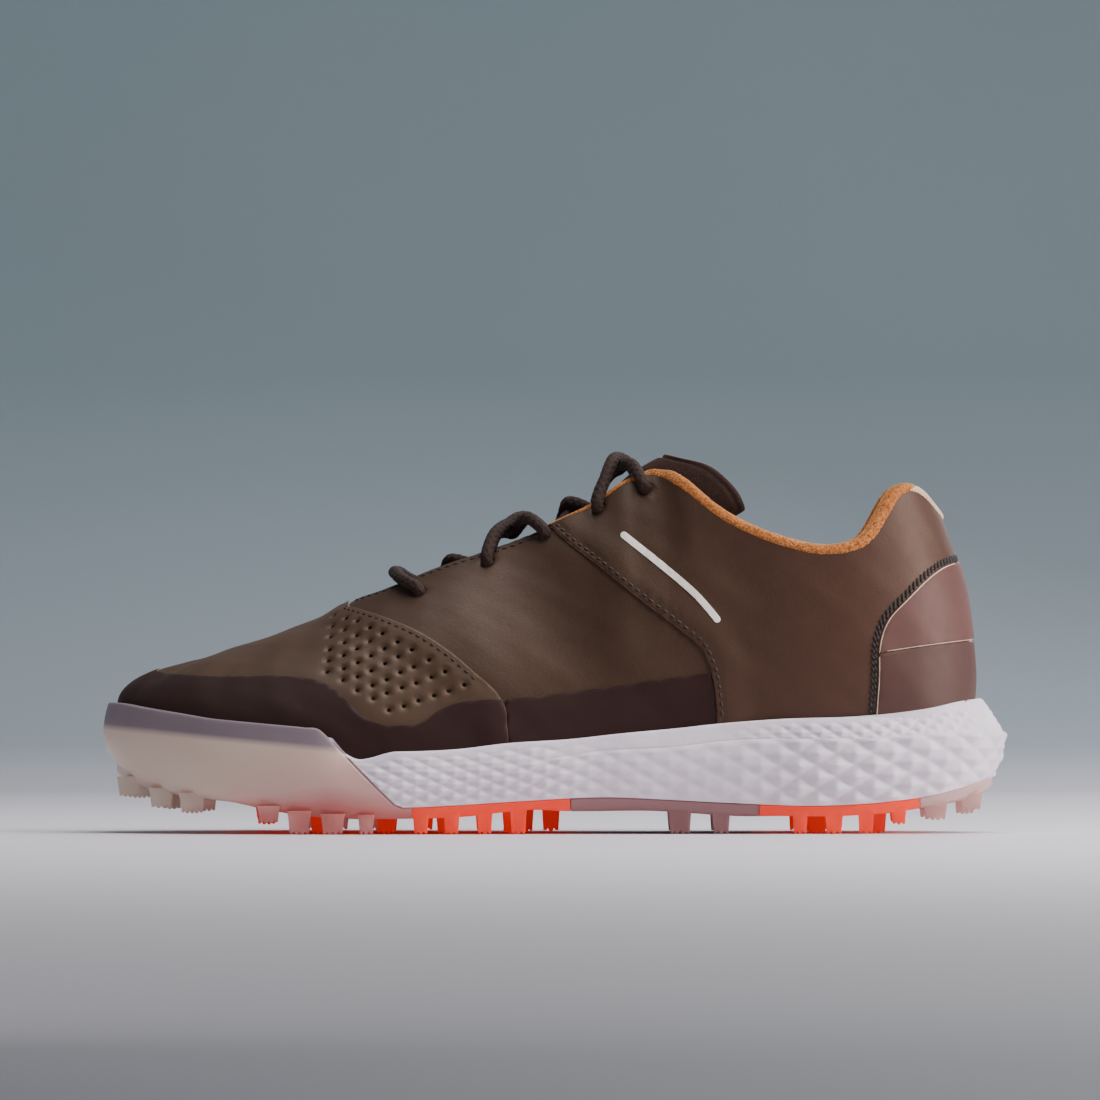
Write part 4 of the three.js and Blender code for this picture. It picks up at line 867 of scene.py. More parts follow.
def leather(name, colour, warm, heel_light_tint=None):
    m = Mat(name)
    big = m.noise(scale=38, detail=4, rough=.6)
    mid = m.noise(scale=160, detail=4, rough=.6)
    base = m.patches(big, shade(colour, .9), warm)
    base = m.patches(mid, base, m.mix(.5, base, shade(colour, 1.2)), low=.35, high=.65)
    edges = m.cells(scale=1350, feature="DISTANCE_TO_EDGE")
    lumps = m.cells(scale=760)
    pores = m.noise(scale=2600, detail=2, rough=.6)
    valleys = m.ramp(edges, (0, WHITE), (.12, BLACK))
    base = m.mix(m.times(valleys, .35), base, shade(colour, .62))
    if heel_light_tint:  # lighter, warmer colour towards the heel: painted light from the heel side
        along = m.scaled(m.position()[0], factor=7.0, offset=.35)
        heel_light_mask = m.ramp(along, (.55, BLACK), (1, WHITE))
        base = m.mix(m.times(heel_light_mask, .55), base, heel_light_tint)
    flats = m.times(m.math("MINIMUM", edges, .2), 2.2)
    grain = m.add(m.times(lumps, .5), m.add(flats, m.times(pores, .25)))
    fine = m.bump(grain, strength=.345, distance=.00012)
    coarse = m.bump(m.noise(scale=95, detail=3, rough=.5), strength=.22, distance=.0006, below=fine)
    return m.set(
        Base_Color=base, Roughness=m.scaled(mid, factor=.18, offset=.41), Normal=coarse,
        Sheen_Weight=.07, Sheen_Roughness=.45, Sheen_Tint=srgb(225, 170, 150),
        Specular_IOR_Level=.42, Specular_Tint=(1, .80, .68, 1))


def film(name, colour, rough, specular=.35):
    m = Mat(name)
    base = m.patches(m.noise(scale=60, detail=4, rough=.6), shade(colour, .9), shade(colour, 1.12))
    cells = m.cells(scale=2300)
    base = m.mix(m.times(m.noise(scale=1700, detail=2), .22), base, shade(colour, 1.5))
    height = m.add(m.times(cells, .7), m.times(m.noise(scale=3200, detail=2), .4))
    bump = m.bump(height, strength=.16, distance=.00010)
    bump = m.bump(m.noise(scale=120), strength=.12, distance=.0005, below=bump)
    return m.set(
        Base_Color=base, Normal=bump,
        Roughness=m.scaled(m.noise(scale=300), factor=.16, offset=rough - .08),
        Specular_IOR_Level=specular, Specular_Tint=(1, .84, .80, 1), Sheen_Weight=.05,
        Sheen_Tint=srgb(210, 180, 185))


def thread(name, colour):
    m = Mat(name)
    twist = m.wave("DIAGONAL", scale=900, distortion=1.5, vector=m.coord)
    base = m.mix(m.noise(scale=700, detail=2), shade(colour, .75), shade(colour, 1.3))
    return m.set(Base_Color=base, Roughness=.62, Sheen_Weight=.04,
                 Normal=m.bump(twist, strength=.5, distance=.00012))


def suede(name, colour, lit, shine=srgb(255, 205, 150), sheen=.5, speck=.68, nap=1900):
    """speck: darkness of the specks. nap: scale of the fine nap."""
    m = Mat(name)
    big = m.noise(scale=55, detail=4, rough=.6)
    mid = m.noise(scale=420, detail=5, rough=.7)
    fine = m.noise(scale=nap, detail=4, rough=.75)
    base = m.patches(big, shade(colour, .85), lit, low=.35, high=.65)
    base = m.patches(mid, base, shade(colour, 1.25), low=.35, high=.7)
    base = m.mix(m.ramp(fine, (.42, WHITE), (.58, BLACK)), base, shade(colour, speck))
    bump = m.bump(mid, strength=.5, distance=.0006)
    bump = m.bump(fine, strength=.75, distance=.00035, below=bump)
    return m.set(Base_Color=base, Roughness=.95, Normal=bump, Sheen_Weight=sheen,
                 Sheen_Roughness=.5, Sheen_Tint=shine, Specular_IOR_Level=.15)


def foam(name, colour, shadow):
    m = Mat(name)
    base = m.patches(m.noise(scale=70, detail=4, rough=.6), shadow, colour)
    height = m.add(m.cells(scale=1500), m.times(m.noise(scale=3600, detail=2), .5))
    bump = m.bump(height, strength=.10, distance=.00010)
    bump = m.bump(m.noise(scale=140), strength=.10, distance=.0004, below=bump)
    return m.set(
        Base_Color=base, Normal=bump, Specular_IOR_Level=.4,
        Roughness=m.scaled(m.noise(scale=500), factor=.15, offset=.48),
        Subsurface_Weight=.06, Subsurface_Radius=(1, .8, .7), Subsurface_Scale=.001)


def textile(name, colour, lit, scale, rough=.9, sheen=.4):
    m = Mat(name)
    turned = m.node("ShaderNodeMapping", {
        "Rotation": (.3, .2, math.radians(45)), "Vector": m.coord}).outputs[0]
    x, y, z = (m.wave(axis, scale=scale / 6.28, distortion=.6, vector=turned) for axis in "XYZ")
    weave = m.add(m.times(x, y), m.times(z, .5))
    base = m.patches(m.noise(scale=60, detail=4), shade(colour, .85), lit)
    base = m.mix(m.times(weave, .5), shade(colour, .7), base)
    bump = m.bump(weave, strength=.5, distance=.00025)
    bump = m.bump(m.noise(scale=1500), strength=.4, distance=.00015, below=bump)
    return m.set(Base_Color=base, Roughness=rough, Normal=bump, Sheen_Weight=sheen,
                 Sheen_Roughness=.5, Specular_IOR_Level=.2)


def clear_rubber(name):
    """Milky translucent rubber with a fine moulded texture."""
    m = Mat(name)
    x, _, z = m.position()
    # masks over the side view: an upper strip; a toe turning pink rearwards and a red lower zone
    # under the forefoot, both painted glow of the red pods through the clear rubber
    strip = m.slope(m.add(z, m.times(x, .095)), start=.0200, rate=420.0)
    pod_glow_pink = m.slope(m.times(m.add(x, .150), .62), start=m.times(z, 1.0), rate=26.0)
    from_pod = m.math("ABSOLUTE", m.add(x, .075))
    # red near the bottom by the forefoot pod: painted glow of the pod through the rubber
    low = m.slope(.0165, start=m.add(z, m.times(from_pod, .16)), rate=150.0)
    base = m.mix(pod_glow_pink, srgb(250, 232, 214), srgb(246, 204, 196))
    base = m.mix(m.times(low, .75), base, srgb(226, 120, 112))
    # behind the toe the rubber is dark pink, painted shade seen through the translucent rubber,
    # turning lighter pink at the heel
    behind_toe = m.times(m.add(x, .050), 60.0, clamp=True)
    heel = m.slope(x, start=.112, rate=60.0)
    base = m.mix(behind_toe, base, m.mix(heel, srgb(176, 116, 116), srgb(240, 196, 186)))
    base = m.mix(strip, base, m.mix(heel, srgb(152, 136, 148), srgb(236, 200, 192)))
    milky = m.times(m.noise(scale=45, detail=4, rough=.6), .16)
    base = m.mix(milky, base, srgb(250, 240, 236))
    height = m.add(m.cells(scale=2000), m.times(m.noise(scale=2600, detail=2), .5))
    bump = m.bump(height, strength=.12, distance=.00008)
    m.set(
        Base_Color=base, Normal=bump,
        Roughness=m.scaled(m.noise(scale=350), factor=.12, offset=.26),
        Subsurface_Weight=.3, Subsurface_Radius=(1, .75, .7), Subsurface_Scale=.003,
        Specular_IOR_Level=.5, IOR=1.45, Coat_Weight=.12, Coat_Roughness=.35)
    see_through = m.node("ShaderNodeBsdfTransparent", {"Color": (.93, .88, .88, 1)})
    glow = m.node("ShaderNodeBsdfTranslucent", {"Color": base})
    facing = m.node("ShaderNodeLayerWeight", {"Blend": .35}).outputs["Facing"]
    body = m.mix_shader(.35, m.bsdf.outputs[0], glow.outputs[0])
    # clearest where seen straight on
    clarity = m.math("SUBTRACT", .22, m.times(facing, .2), clamp=True)
    m.surface(m.mix_shader(clarity, body, see_through.outputs[0]))
    return m.material


def orange_rubber(name):
    m = Mat(name)
    base = m.patches(m.noise(scale=60, detail=4), srgb(255, 48, 18), srgb(255, 74, 38))
    height = m.add(m.cells(scale=1800), m.times(m.noise(scale=2600, detail=2), .5))
    bump = m.bump(height, strength=.12, distance=.00008)
    # the faint emission is painted glow; the pods are no lamp
    return m.set(
        Base_Color=base, Normal=bump, Specular_IOR_Level=.45,
        Roughness=m.scaled(m.noise(scale=300), factor=.14, offset=.36),
        Subsurface_Weight=.4, Subsurface_Radius=(1, .25, .12), Subsurface_Scale=.004,
        Emission_Color=srgb(255, 60, 28), Emission_Strength=.16)


def plain(name, colour, rough, scale=500, strength=.3):
    """Plain material with fine unevenness; strength is that of its bump."""
    m = Mat(name)
    base = m.mix(m.noise(scale=scale * .2, detail=4), shade(colour, .85), shade(colour, 1.12))
    return m.set(
        Base_Color=base, Roughness=m.scaled(m.noise(scale=scale), factor=.15, offset=rough - .07),
        Normal=m.bump(m.noise(scale=scale * 3), strength=strength, distance=.0002))


# the upper leather's heel tint is painted light falling from the heel side
M_LEATHER = leather("upper_leather", srgb(54, 37, 27), srgb(63, 44, 32),
                    heel_light_tint=srgb(80, 52, 42))
M_VAMP = leather("vamp_leather", srgb(67, 50, 38), srgb(76, 57, 43))
M_GUARD = film("guard_film", srgb(38, 20, 18), rough=.58, specular=.26)
M_HEEL_UP = film("heel_film_upper", srgb(88, 58, 53), rough=.54, specular=.34)
M_HEEL_LO = film("heel_film_lower", srgb(72, 48, 42), rough=.55, specular=.32)
M_STRIPE = film("stripe_film", srgb(228, 222, 212), rough=.5)
M_CUT = plain("cut_leather_edge", srgb(150, 112, 92), rough=.8, scale=900, strength=.5)
M_CUT_PALE = plain("cut_film_edge", srgb(226, 196, 176), rough=.7, scale=900)
M_THREAD = thread("stitch_thread", srgb(46, 34, 29))
M_THREAD_DARK = thread("overlay_stitch_thread", srgb(30, 22, 20))
M_SUEDE = suede("collar_suede", srgb(190, 114, 58), srgb(222, 146, 84), speck=.42, nap=1250)
M_BINDING = suede("heel_binding", srgb(226, 200, 168), srgb(238, 218, 190))
M_FOAM = foam("midsole_foam", srgb(233, 225, 233), shadow=srgb(214, 202, 216))
M_CLEAR = clear_rubber("clear_rubber")
M_ORANGE = orange_rubber("orange_rubber")
M_TONGUE = suede("tongue_nubuck", srgb(50, 35, 31), srgb(58, 42, 37),
                 shine=srgb(150, 110, 95), sheen=.25)
M_LACE = textile("lace_braid", srgb(54, 37, 31), srgb(66, 46, 38), scale=3000, rough=.72, sheen=.04)
M_LINING = textile("vamp_lining_knit", srgb(176, 148, 122), srgb(190, 162, 134), scale=1600)
M_FOOTBED = textile("footbed_fabric", srgb(66, 60, 58), srgb(80, 73, 70), scale=1500)
M_AGLET = plain("aglet_plastic", srgb(40, 34, 32), rough=.35)
M_BOARD = textile("board_fibre", srgb(222, 216, 204), srgb(232, 226, 214), scale=2200)
M_STIFF = plain("stiffener_fibre", srgb(206, 198, 182), rough=.8, scale=900, strength=.5)
M_REINF = textile("reinforcement_tape", srgb(44, 40, 38), srgb(54, 50, 47), scale=2200)
M_PADFOAM = plain("collar_pad_foam", srgb(230, 222, 184), rough=.95, scale=1200, strength=.8)
M_SHANK = plain("shank_moulded", srgb(42, 44, 48), rough=.5, scale=400)


def paint(ob, *materials):
    slots = ob.data.materials
    if len(materials) == 1:
        slots.clear()
    for material in materials:
        slots.append(material)


def piece(ob, materials, slot, *nodes, body="shoe"):
    paint(ob, *(materials if isinstance(materials, tuple) else (materials,)))
    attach(ob, body)
    if nodes:
        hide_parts(*nodes)


# ------------------------------------------------------------------ upper panels
SEAM_RINGS = [.12, .33, .62, 1.0, 1.45, 1.9, 2.4, 3.1, 4.2]
FILM_RINGS = [.08, .2, .4, 1.4]
SEAM_LIFT = .95       # a panel rises this much where it laps over its neighbour
VAMP_REACH = (3.0, 13.0)       # distances over which that lift fades out
QUARTER_REACH = (3.5, 14.0)
CORNER_GAP = .6 / SPAN[1]      # t left free where a seam meets an edge
EYELET_HOLES = dict(hole_radius=2.15, hole_sides=20)

vamp_seam, quarter_seam, throat = {}, {}, {}
RIDGE_SEAM_S = s_at_x(-68.3, 0, .6, t=1.0)
for side in SIDES:
    line = on_side(side, VAMP_SEAM, 1.1, smax=.75)
    line = np.vstack([[RIDGE_SEAM_S, 1.0], line[line[:, 1] < .985]])
    vamp_seam[side] = to_bottom(line[line[:, 1] > .03])
    line = on_side(side, QUARTER_SEAM, 1.1, smax=.85)
    quarter_seam[side] = to_bottom(line[line[:, 1] > .03])
    throat[side] = throat_line(side)
perforations = {side: invert(side, PERFORATIONS, smax=.7) for side in SIDES}
eyelets = invert("L", EYELETS, smax=.72, tmin=.4)
vamp_groove = {side: shift(side, vamp_seam[side], -1.75) for side in SIDES}
quarter_groove = {side: shift(side, quarter_seam[side], 1.75) for side in SIDES}


def above(line, t):
    """The part of a line above t, without its very top."""
    return line[(line[:, 1] > t) & (line[:, 1] < 1.0)]


def vamp_lift(sheet):
    return SEAM_LIFT * band(sheet, list(vamp_seam.items()), *VAMP_REACH)


def build_vamp():
    """Both sides, welded along the toe line and the ridge."""
    outlines, borders = [], []
    for side, seam in vamp_seam.items():
        outlines.append((side, join(rising_line(0, 0, 1), level_line(0, RIDGE_SEAM_S, 1.0), seam,
                                    level_line(seam[-1, 0], 0, 0.0))))
        borders += [(side, seam), (side, level_line(0, seam[-1, 0], 0.0))]
    sheet = Sheet(outlines, borders, spacing=1.7, radius=.55, rings=SEAM_RINGS,
                  holes=perforations, hole_radius=.74, dimple=2.2, hole_sides=10)
    grooves = [(side, line[line[:, 1] > .28], .28, .75) for side, line in vamp_groove.items()]
    ob = sheet.build("toe_vamp_leather", vamp_lift(sheet), 1.0, grooves, cut_reach=.3)
    piece(ob, (M_VAMP, M_CUT), "upper_leather", "toe_vamp")


def build_side_panel(side):
    """Runs under the vamp and the quarter. Returns the stitch groove at the throat."""
    front = shift(side, vamp_seam[side], -3.0)
    rear = shift(side, quarter_seam[side], 3.0)
    rear_s = rear[0, 0]
    edge = throat[side][throat[side][:, 0] < rear_s]
    rear = rear[rear[:, 1] < edge[-1, 1] - CORNER_GAP]
    polygon = join(np.vstack([[front[0, 0], .985], edge]), rear,
                   level_line(rear[-1, 0], front[-1, 0], 0.0), front[::-1][:-1])
    borders = [(side, join(edge, rear)), (side, front),
               (side, level_line(front[-1, 0], rear[-1, 0], 0.0))]
    sheet = Sheet([(side, polygon)], borders, spacing=1.8, radius=.5, rings=SEAM_RINGS,
                  holes={side: eyelets[eyelets[:, 0] < rear_s - .01]}, **EYELET_HOLES)
    groove = shift(side, edge, -2.0)
    name = "side_panel_" + SIDES[side]
    ob = sheet.build(name + "_leather", 0.0, 1.2, [(side, groove, .25, .7)], cut_reach=.3)
    piece(ob, (M_LEATHER, M_CUT), "upper_leather", name)
    return groove


def build_quarter(side):
    """Returns the top edge, from the throat round the collar to the heel."""
    seam = quarter_seam[side]
    edge = on_side(side, LEATHER_EDGE, 1.2)
    edge = edge[edge[:, 0] < .9995]
    front = throat[side][throat[side][:, 0] > seam[0, 0]]
    # join the throat edge to the collar edge with a rounded corner
    edge = edge[edge[:, 0] > front[-1, 0] + .004]
    (s0, t0), (s1, t1) = edge[-2:]
    edge = np.vstack([edge, [1.0, t1 + (t1 - t0) * (1 - s1) / max(s1 - s0, 1e-6)]])
    top = relax(np.vstack([front, edge]), 3)
    clear_of_top = (st_gap(seam, top[0]) > 1.0) & (seam[:, 1] < top[0, 1] - CORNER_GAP)
    front_edge = np.vstack([top[0:1], seam[clear_of_top]])
    polygon = join(top, rising_line(1.0, top[-1, 1], 0.0),
                   level_line(1.0, front_edge[-1, 0], 0.0), front_edge[::-1])
    borders = [(side, top), (side, front_edge), (side, level_line(front_edge[-1, 0], 1.0, 0.0))]
    sheet = Sheet([(side, polygon)], borders, spacing=1.8, radius=.5, rings=SEAM_RINGS,
                  holes={side: eyelets[eyelets[:, 0] > seam[0, 0]]}, **EYELET_HOLES)
    lift = SEAM_LIFT * band(sheet, [(side, front_edge)], *QUARTER_REACH)
    name = "quarter_" + SIDES[side]
    ob = sheet.build(name + "_leather", lift, 1.15, [(side, quarter_groove[side], .28, .75)],
                     cut_reach=.3)
    piece(ob, (M_LEATHER, M_CUT), "upper_leather", name)
    return top


def build_eyestay_tape(side):
    """Strip under the leather along the throat."""
    top = shift(side, throat[side], -1.6)
    top = top[(top[:, 0] > throat[side][0, 0] + .02) & (top[:, 0] < .655)]
    strip = join(top, shift(side, top, -13.5)[::-1])
    sheet = Sheet([(side, strip)], [(side, np.vstack([strip, strip[:1]]))], spacing=2.4,
                  radius=.2, rings=[.5], holes={side: eyelets}, hole_radius=2.5, hole_sides=16)
    name = "eyestay_reinforcement_" + SIDES[side]
    piece(sheet.build(name + "_tape", -1.35, .75), M_REINF, "reinforcement", name)


build_vamp()
throat_groove = {side: build_side_panel(side) for side in SIDES}
collar_edge = {side: build_quarter(side) for side in SIDES}
for side in SIDES:
    build_eyestay_tape(side)


# ------------------------------------------------------------------ films and overlays
def build_toe_guard():
    outlines, borders = [], []
    front_t = t_at_z(0.0, 54.6)
    for side in SIDES:
        top = on_side(side, TOE_TOP, smax=.6)
        top = relax(np.vstack([[0, front_t], top[top[:, 0] > .012]]), 2)
        rear = shift(side, vamp_seam[side], -.25)
        rear = to_bottom(rear[rear[:, 1] < top[-1, 1] - .012])
        outlines.append((side, join(rising_line(0, 0, front_t), top, rear,
                                    level_line(rear[-1, 0], 0, 0.0))))
        borders += [(side, top), (side, rear), (side, level_line(0, rear[-1, 0], 0.0))]
    sheet = Sheet(outlines, borders, spacing=2.0, radius=.28, rings=FILM_RINGS)
    ob = sheet.build("toe_guard_film", vamp_lift(sheet) + .52, .49, cut_reach=.18)
    piece(ob, (M_GUARD, M_CUT), "guard_film", "toe_guard")


def build_side_guard(side):
    top = on_side(side, SIDE_TOP, smax=.8)
    front = shift(side, vamp_seam[side], .3)
    front = to_bottom(front[front[:, 1] < top[0, 1] - .008])
    rear = shift(side, quarter_seam[side], -.2)
    rear = to_bottom(rear[rear[:, 1] < top[-1, 1] - .008])
    polygon = join(top, rear, level_line(rear[-1, 0], front[-1, 0], 0.0), front[::-1])
    borders = [(side, top), (side, rear), (side, front),
               (side, level_line(front[-1, 0], rear[-1, 0], 0.0))]
    sheet = Sheet([(side, polygon)], borders, spacing=2.0, radius=.28, rings=FILM_RINGS)
    name = "side_guard_" + SIDES[side]
    piece(sheet.build(name + "_film", .48, .46, cut_reach=.18), (M_GUARD, M_CUT), "guard_film",
          name)


def build_heel_overlays():
    """Upper and lower film, a hair apart. Returns their front edges."""
    top_t, split_t = t_at_z(1.0, 90.6), t_at_z(1.0, 64.9)
    half_gap = [0, .0016]
    fronts, splits = {}, {}
    upper, upper_borders, lower, lower_borders = [], [], [], []
    for side in SIDES:
        front = on_side(side, HEEL_FRONT)
        front = relax(np.vstack([[1.0, top_t], front[front[:, 0] < .985]]), 3)
        front = to_bottom(front[front[:, 1] > .02])
        split = on_side(side, HEEL_SPLIT)
        split = np.vstack([split[split[:, 0] < .985], [1.0, split_t]])
        k = int(np.argmin(st_gap(front, split[0])))
        split = np.vstack([front[k], split[1:]])
        over, under = split + half_gap, split - half_gap
        upper.append((side, join(front[:k], over, rising_line(1.0, over[-1, 1], top_t))))
        upper_borders += [(side, front[:k + 1]), (side, over)]
        lower.append((side, join(under, rising_line(1.0, under[-1, 1], 0),
                                 level_line(1.0, front[-1, 0], 0.0), front[k + 1:][::-1])))
        lower_borders += [(side, front[k:]), (side, under),
                          (side, level_line(front[-1, 0], 1, 0.0))]
        fronts[side], splits[side] = front, split
    sheet = Sheet(upper, upper_borders, spacing=2.0, radius=.32, rings=FILM_RINGS)
    ob = sheet.build("heel_overlay_upper_film", 1.0, .98, cut_reach=.3)
    piece(ob, (M_HEEL_UP, M_CUT_PALE), "heel_film", "heel_overlay_upper")
    sheet = Sheet(lower, lower_borders, spacing=2.0, radius=.32, rings=FILM_RINGS)
    ob = sheet.build("heel_overlay_lower_film", .94, .92, cut_reach=.3)
    # no pale cut edge along the split
    near_split = point_tree(np.vstack([place(side, *line.T, .9)
                                       for side, line in splits.items()]))
    for f in ob.data.polygons:
        if f.material_index and near_split.find(np.array(f.center) / MM)[2] < 1.0:
            f.material_index = 0
    piece(ob, (M_HEEL_LO, M_CUT_PALE), "heel_film", "heel_overlay_lower")
    return fronts


def bar_outline(line, half):
    """Round-ended bar around a side-view line."""
    centre = curved(line, .8)
    along = np.gradient(centre, axis=0)
    along /= np.linalg.norm(along, axis=1)[:, None]
    across = np.stack([-along[:, 1], along[:, 0]], -1)

    def cap(p, forward, sideways):
        return [p + half * (np.cos(a) * sideways + np.sin(a) * forward)
                for a in np.linspace(0, math.pi, 9)[1:-1]]
    return np.vstack([centre + across * half, cap(centre[-1], along[-1], across[-1]),
                      (centre - across * half)[::-1], cap(centre[0], -along[0], -across[0])])


def build_stripe():
    """Plain slim bar on the lateral quarter."""
    bar = invert("L", bar_outline(STRIPE, half=1.15), smax=.85)
    sheet = Sheet([("L", bar)], [("L", np.vstack([bar, bar[:1]]))], spacing=1.4, radius=.16,
                  rings=[.08, .2, .5])
    lift = SEAM_LIFT * band(sheet, [("L", quarter_seam["L"])], *QUARTER_REACH)
    ob = sheet.build("side_stripe_print", lift + .20, .19)
    piece(ob, M_STRIPE, "stripe", "side_stripe_lateral")


build_toe_guard()
for side in SIDES:
    build_side_guard(side)
heel_front = build_heel_overlays()
build_stripe()


# ------------------------------------------------------------------ stitching
def stitches(name, rows, pitch, length, radius=.36, material=M_THREAD, twist=8.0, sink=.12):
    """rows: (side, line, height). A stitch is a short bent thread with its ends sunk in.
    twist: its turn from the line, in degrees."""
    points, faces = [], []
    rings, sides = 7, 8
    stitch_faces = ring_faces(rings, sides)
    for side, line, height in rows:
        dense = respace(line, .25)
        placed, normals = place(side, *dense.T), normal(side, *dense.T)
        travelled = lengths(placed)

        def sample(values, at):
            return np.array([np.interp(at, travelled, values[:, i]) for i in range(3)])
        count = max(1, int(travelled[-1] / pitch))
        for k in range(count):
            at = (k + .5) * travelled[-1] / count
            middle, up = sample(placed, at), sample(normals, at)
            up /= np.linalg.norm(up)
            along = sample(placed, at + .3) - sample(placed, at - .3)
            along -= up * (along @ up)
            along /= max(np.linalg.norm(along), 1e-9)
            across = np.cross(up, along)
            a = math.radians(twist * -OUTWARD[side] + 3.0 * math.sin(k * 2.1))
            along, across = (along * math.cos(a) + across * math.sin(a),
                             across * math.cos(a) - along * math.sin(a))
            base = len(points)
            own_length = length * (1 + .05 * math.sin(k * 1.7))
            for i in range(rings):
                u = -1 + 2 * i / (rings - 1)
                r = radius * math.sqrt(max(1 - abs(u) ** 3.2, 0)) + .04
                rise = height + radius * .55 - (radius * .9 + sink) * abs(u) ** 3
                centre = middle + along * (u * own_length / 2) + up * rise
                for j in range(sides):
                    angle = 2 * math.pi * j / sides
                    points.append(centre + across * (r * math.cos(angle))
                                  + up * (r * .8 * math.sin(angle)))
            faces += [tuple(base + v for v in f[::-1]) for f in stitch_faces]
    piece(new_object(name, np.array(points), faces), material, "lace")


seam_height = SEAM_LIFT - .22
stitches("vamp_seam_stitches", [(side, above(vamp_groove[side], .30), seam_height)
                                for side in SIDES], pitch=2.9, length=2.1)
stitches("quarter_seam_stitches", [(side, above(quarter_groove[side][3:], .10), seam_height)
                                   for side in SIDES], pitch=2.9, length=2.1)
stitches("throat_edge_stitches", [(side, throat_groove[side][3:-4], -.2) for side in SIDES],
         pitch=2.8, length=2.0)
heel_rows = []
for side in SIDES:
    for inset, height in ((-1.15, .02), (-2.05, .0)):
        line = respace(shift(side, heel_front[side], inset), .6)
        heel_rows.append((side, above(line[line[:, 0] < .997], .12), height))
stitches("heel_overlay_stitches", heel_rows, pitch=2.0, length=2.2, radius=.42,
         material=M_THREAD_DARK, twist=34.0, sink=.05)

# ------------------------------------------------------------------ rolled suede rim, lining
RIM_STEP = .62
RIM_SIDES = 30


def pad(s, t):
    """Thickness of the collar padding."""
    t = np.minimum(t, .97)
    return 4.3 * smooth(.45, .75, t) * smooth(.69, .75, s) * (1 - .5 * smooth(.85, 1, t))


def rim_path():
    """Points, outward and upward directions, s and t along the collar, lateral side first."""
    columns = []
    for side in SIDES:
        line = respace(collar_edge[side], RIM_STEP)
        points, normals = place(side, *line.T), normal(side, *line.T)
        along = np.gradient(points, axis=0)
        along /= np.linalg.norm(along, axis=1)[:, None]
        up = np.cross(normals, along)
        up *= np.sign((up * tangents(side, *line.T)[1]).sum(1))[:, None]
        columns.append((points, normals, up, line[:, 0], line[:, 1]))
    points, normals, up, s, t = (np.concatenate([a, b[::-1][1:]]) for a, b in zip(*columns))
    for _ in range(6):
        for directions in (normals, up):
            relax(directions, 1)
            directions /= np.linalg.norm(directions, axis=1)[:, None]
    return points, normals, up, s, t


rim_points, rim_out, rim_up, rim_s, rim_t = rim_path()


def rim_shape():
    """Half height, half width, centre height and centre offset of the roll."""
    grown = smooth(.625, .70, rim_s)
    half_up = (1.0 + 1.25 * grown + .35 * smooth(.78, .88, rim_s)
               - .95 * smooth(.885, .95, rim_s))
    half_out = 1.0 + (.55 + (.5 * pad(rim_s, rim_t))) * grown
    index = np.arange(len(rim_s))
    from_end = np.minimum(index, index[::-1]) * RIM_STEP
    taper = np.sqrt(np.clip(from_end / 1.4, 0, 1)) * .9 + .1
    return half_up * taper, half_out * taper, .45 + .1 * grown, .28 - half_out


half_up, half_out, centre_up, centre_out = rim_shape()


def nap_noise(p, frequency, seed):
    """Repeatable rough noise for napped surfaces."""
    x, y, z = p[:, 0], p[:, 1], p[:, 2]
    f = frequency
    v = (np.sin(x * f + seed) * np.sin(y * f * 1.13 + 2.1 * seed)
         + np.sin(z * f * .93 + 1.7 * seed) * np.sin((x + y) * f * 1.31 + seed)
         + .7 * np.sin(x * f * 2.3 - z * f * 1.9 + seed) * np.sin(y * f * 2.1 + z * f * 2.6))
    return v / 2.2


def sweep(rows, section):
    """Section swept along rows of the rim. section(k) gives its outward and upward values."""
    rings = []
    for k, i in enumerate(rows):
        out, up = section(k)
        rings.append(rim_points[i] + np.outer(out, rim_out[i]) + np.outer(up, rim_up[i]))
    return np.vstack(rings), ring_faces(len(rings), len(rings[0]))


def build_rim():
    angle = np.arange(RIM_SIDES) * 2 * math.pi / RIM_SIDES
    c, s = np.cos(angle), np.sin(angle)
    power = .86  # slightly squared circle

    def section(k):
        return (centre_out[k] + half_out[k] * np.sign(c) * np.abs(c) ** power,
                centre_up[k] + half_up[k] * np.sign(s) * np.abs(s) ** power)
    points, faces = sweep(range(len(rim_s)), section)
    middle = rim_points + rim_out * centre_out[:, None] + rim_up * centre_up[:, None]
    away = unit(points - np.repeat(middle, RIM_SIDES, axis=0))
    nap = .13 * nap_noise(points, 5.3, .7) + .07 * nap_noise(points, 11.0, 2.2)
    ob = fix_normals(new_object("collar_rim_suede", points + away * nap[:, None], faces))
    piece(ob, M_SUEDE, "collar_suede")


def build_heel_binding():
    """Pale binding over the heel tab, a shell on the outside of the rim."""
    rows = np.where(rim_s > .915)[0]

    def section(k):
        i = rows[k]
        grown = np.clip(min(k, len(rows) - 1 - k) / 12.0, .12, 1)
        end = math.radians(-20 + 78 * float(smooth(0, 1, grown)))
        angle = np.linspace(math.radians(-36), end, 12)

        def arc(a, extra):
            return np.stack([centre_out[i] + (half_out[i] + extra) * np.cos(a),
                             centre_up[i] + (half_up[i] + extra) * np.sin(a)])
        return np.concatenate([arc(angle, .30 * grown), arc(angle[::-1], -.3)], 1)
    points, faces = sweep(rows, section)
    points = points + np.outer(.05 * nap_noise(points, 7.0, 1.1), [0, 0, 1])
    ob = fix_normals(new_object("heel_binding_rim", points, faces, sharp_above=60))
    piece(ob, M_BINDING, "binding", "heel_binding")


LINING_S = s_at_x(33.8, .3, .72, t=.9)  # where the vamp lining ends and the collar lining starts


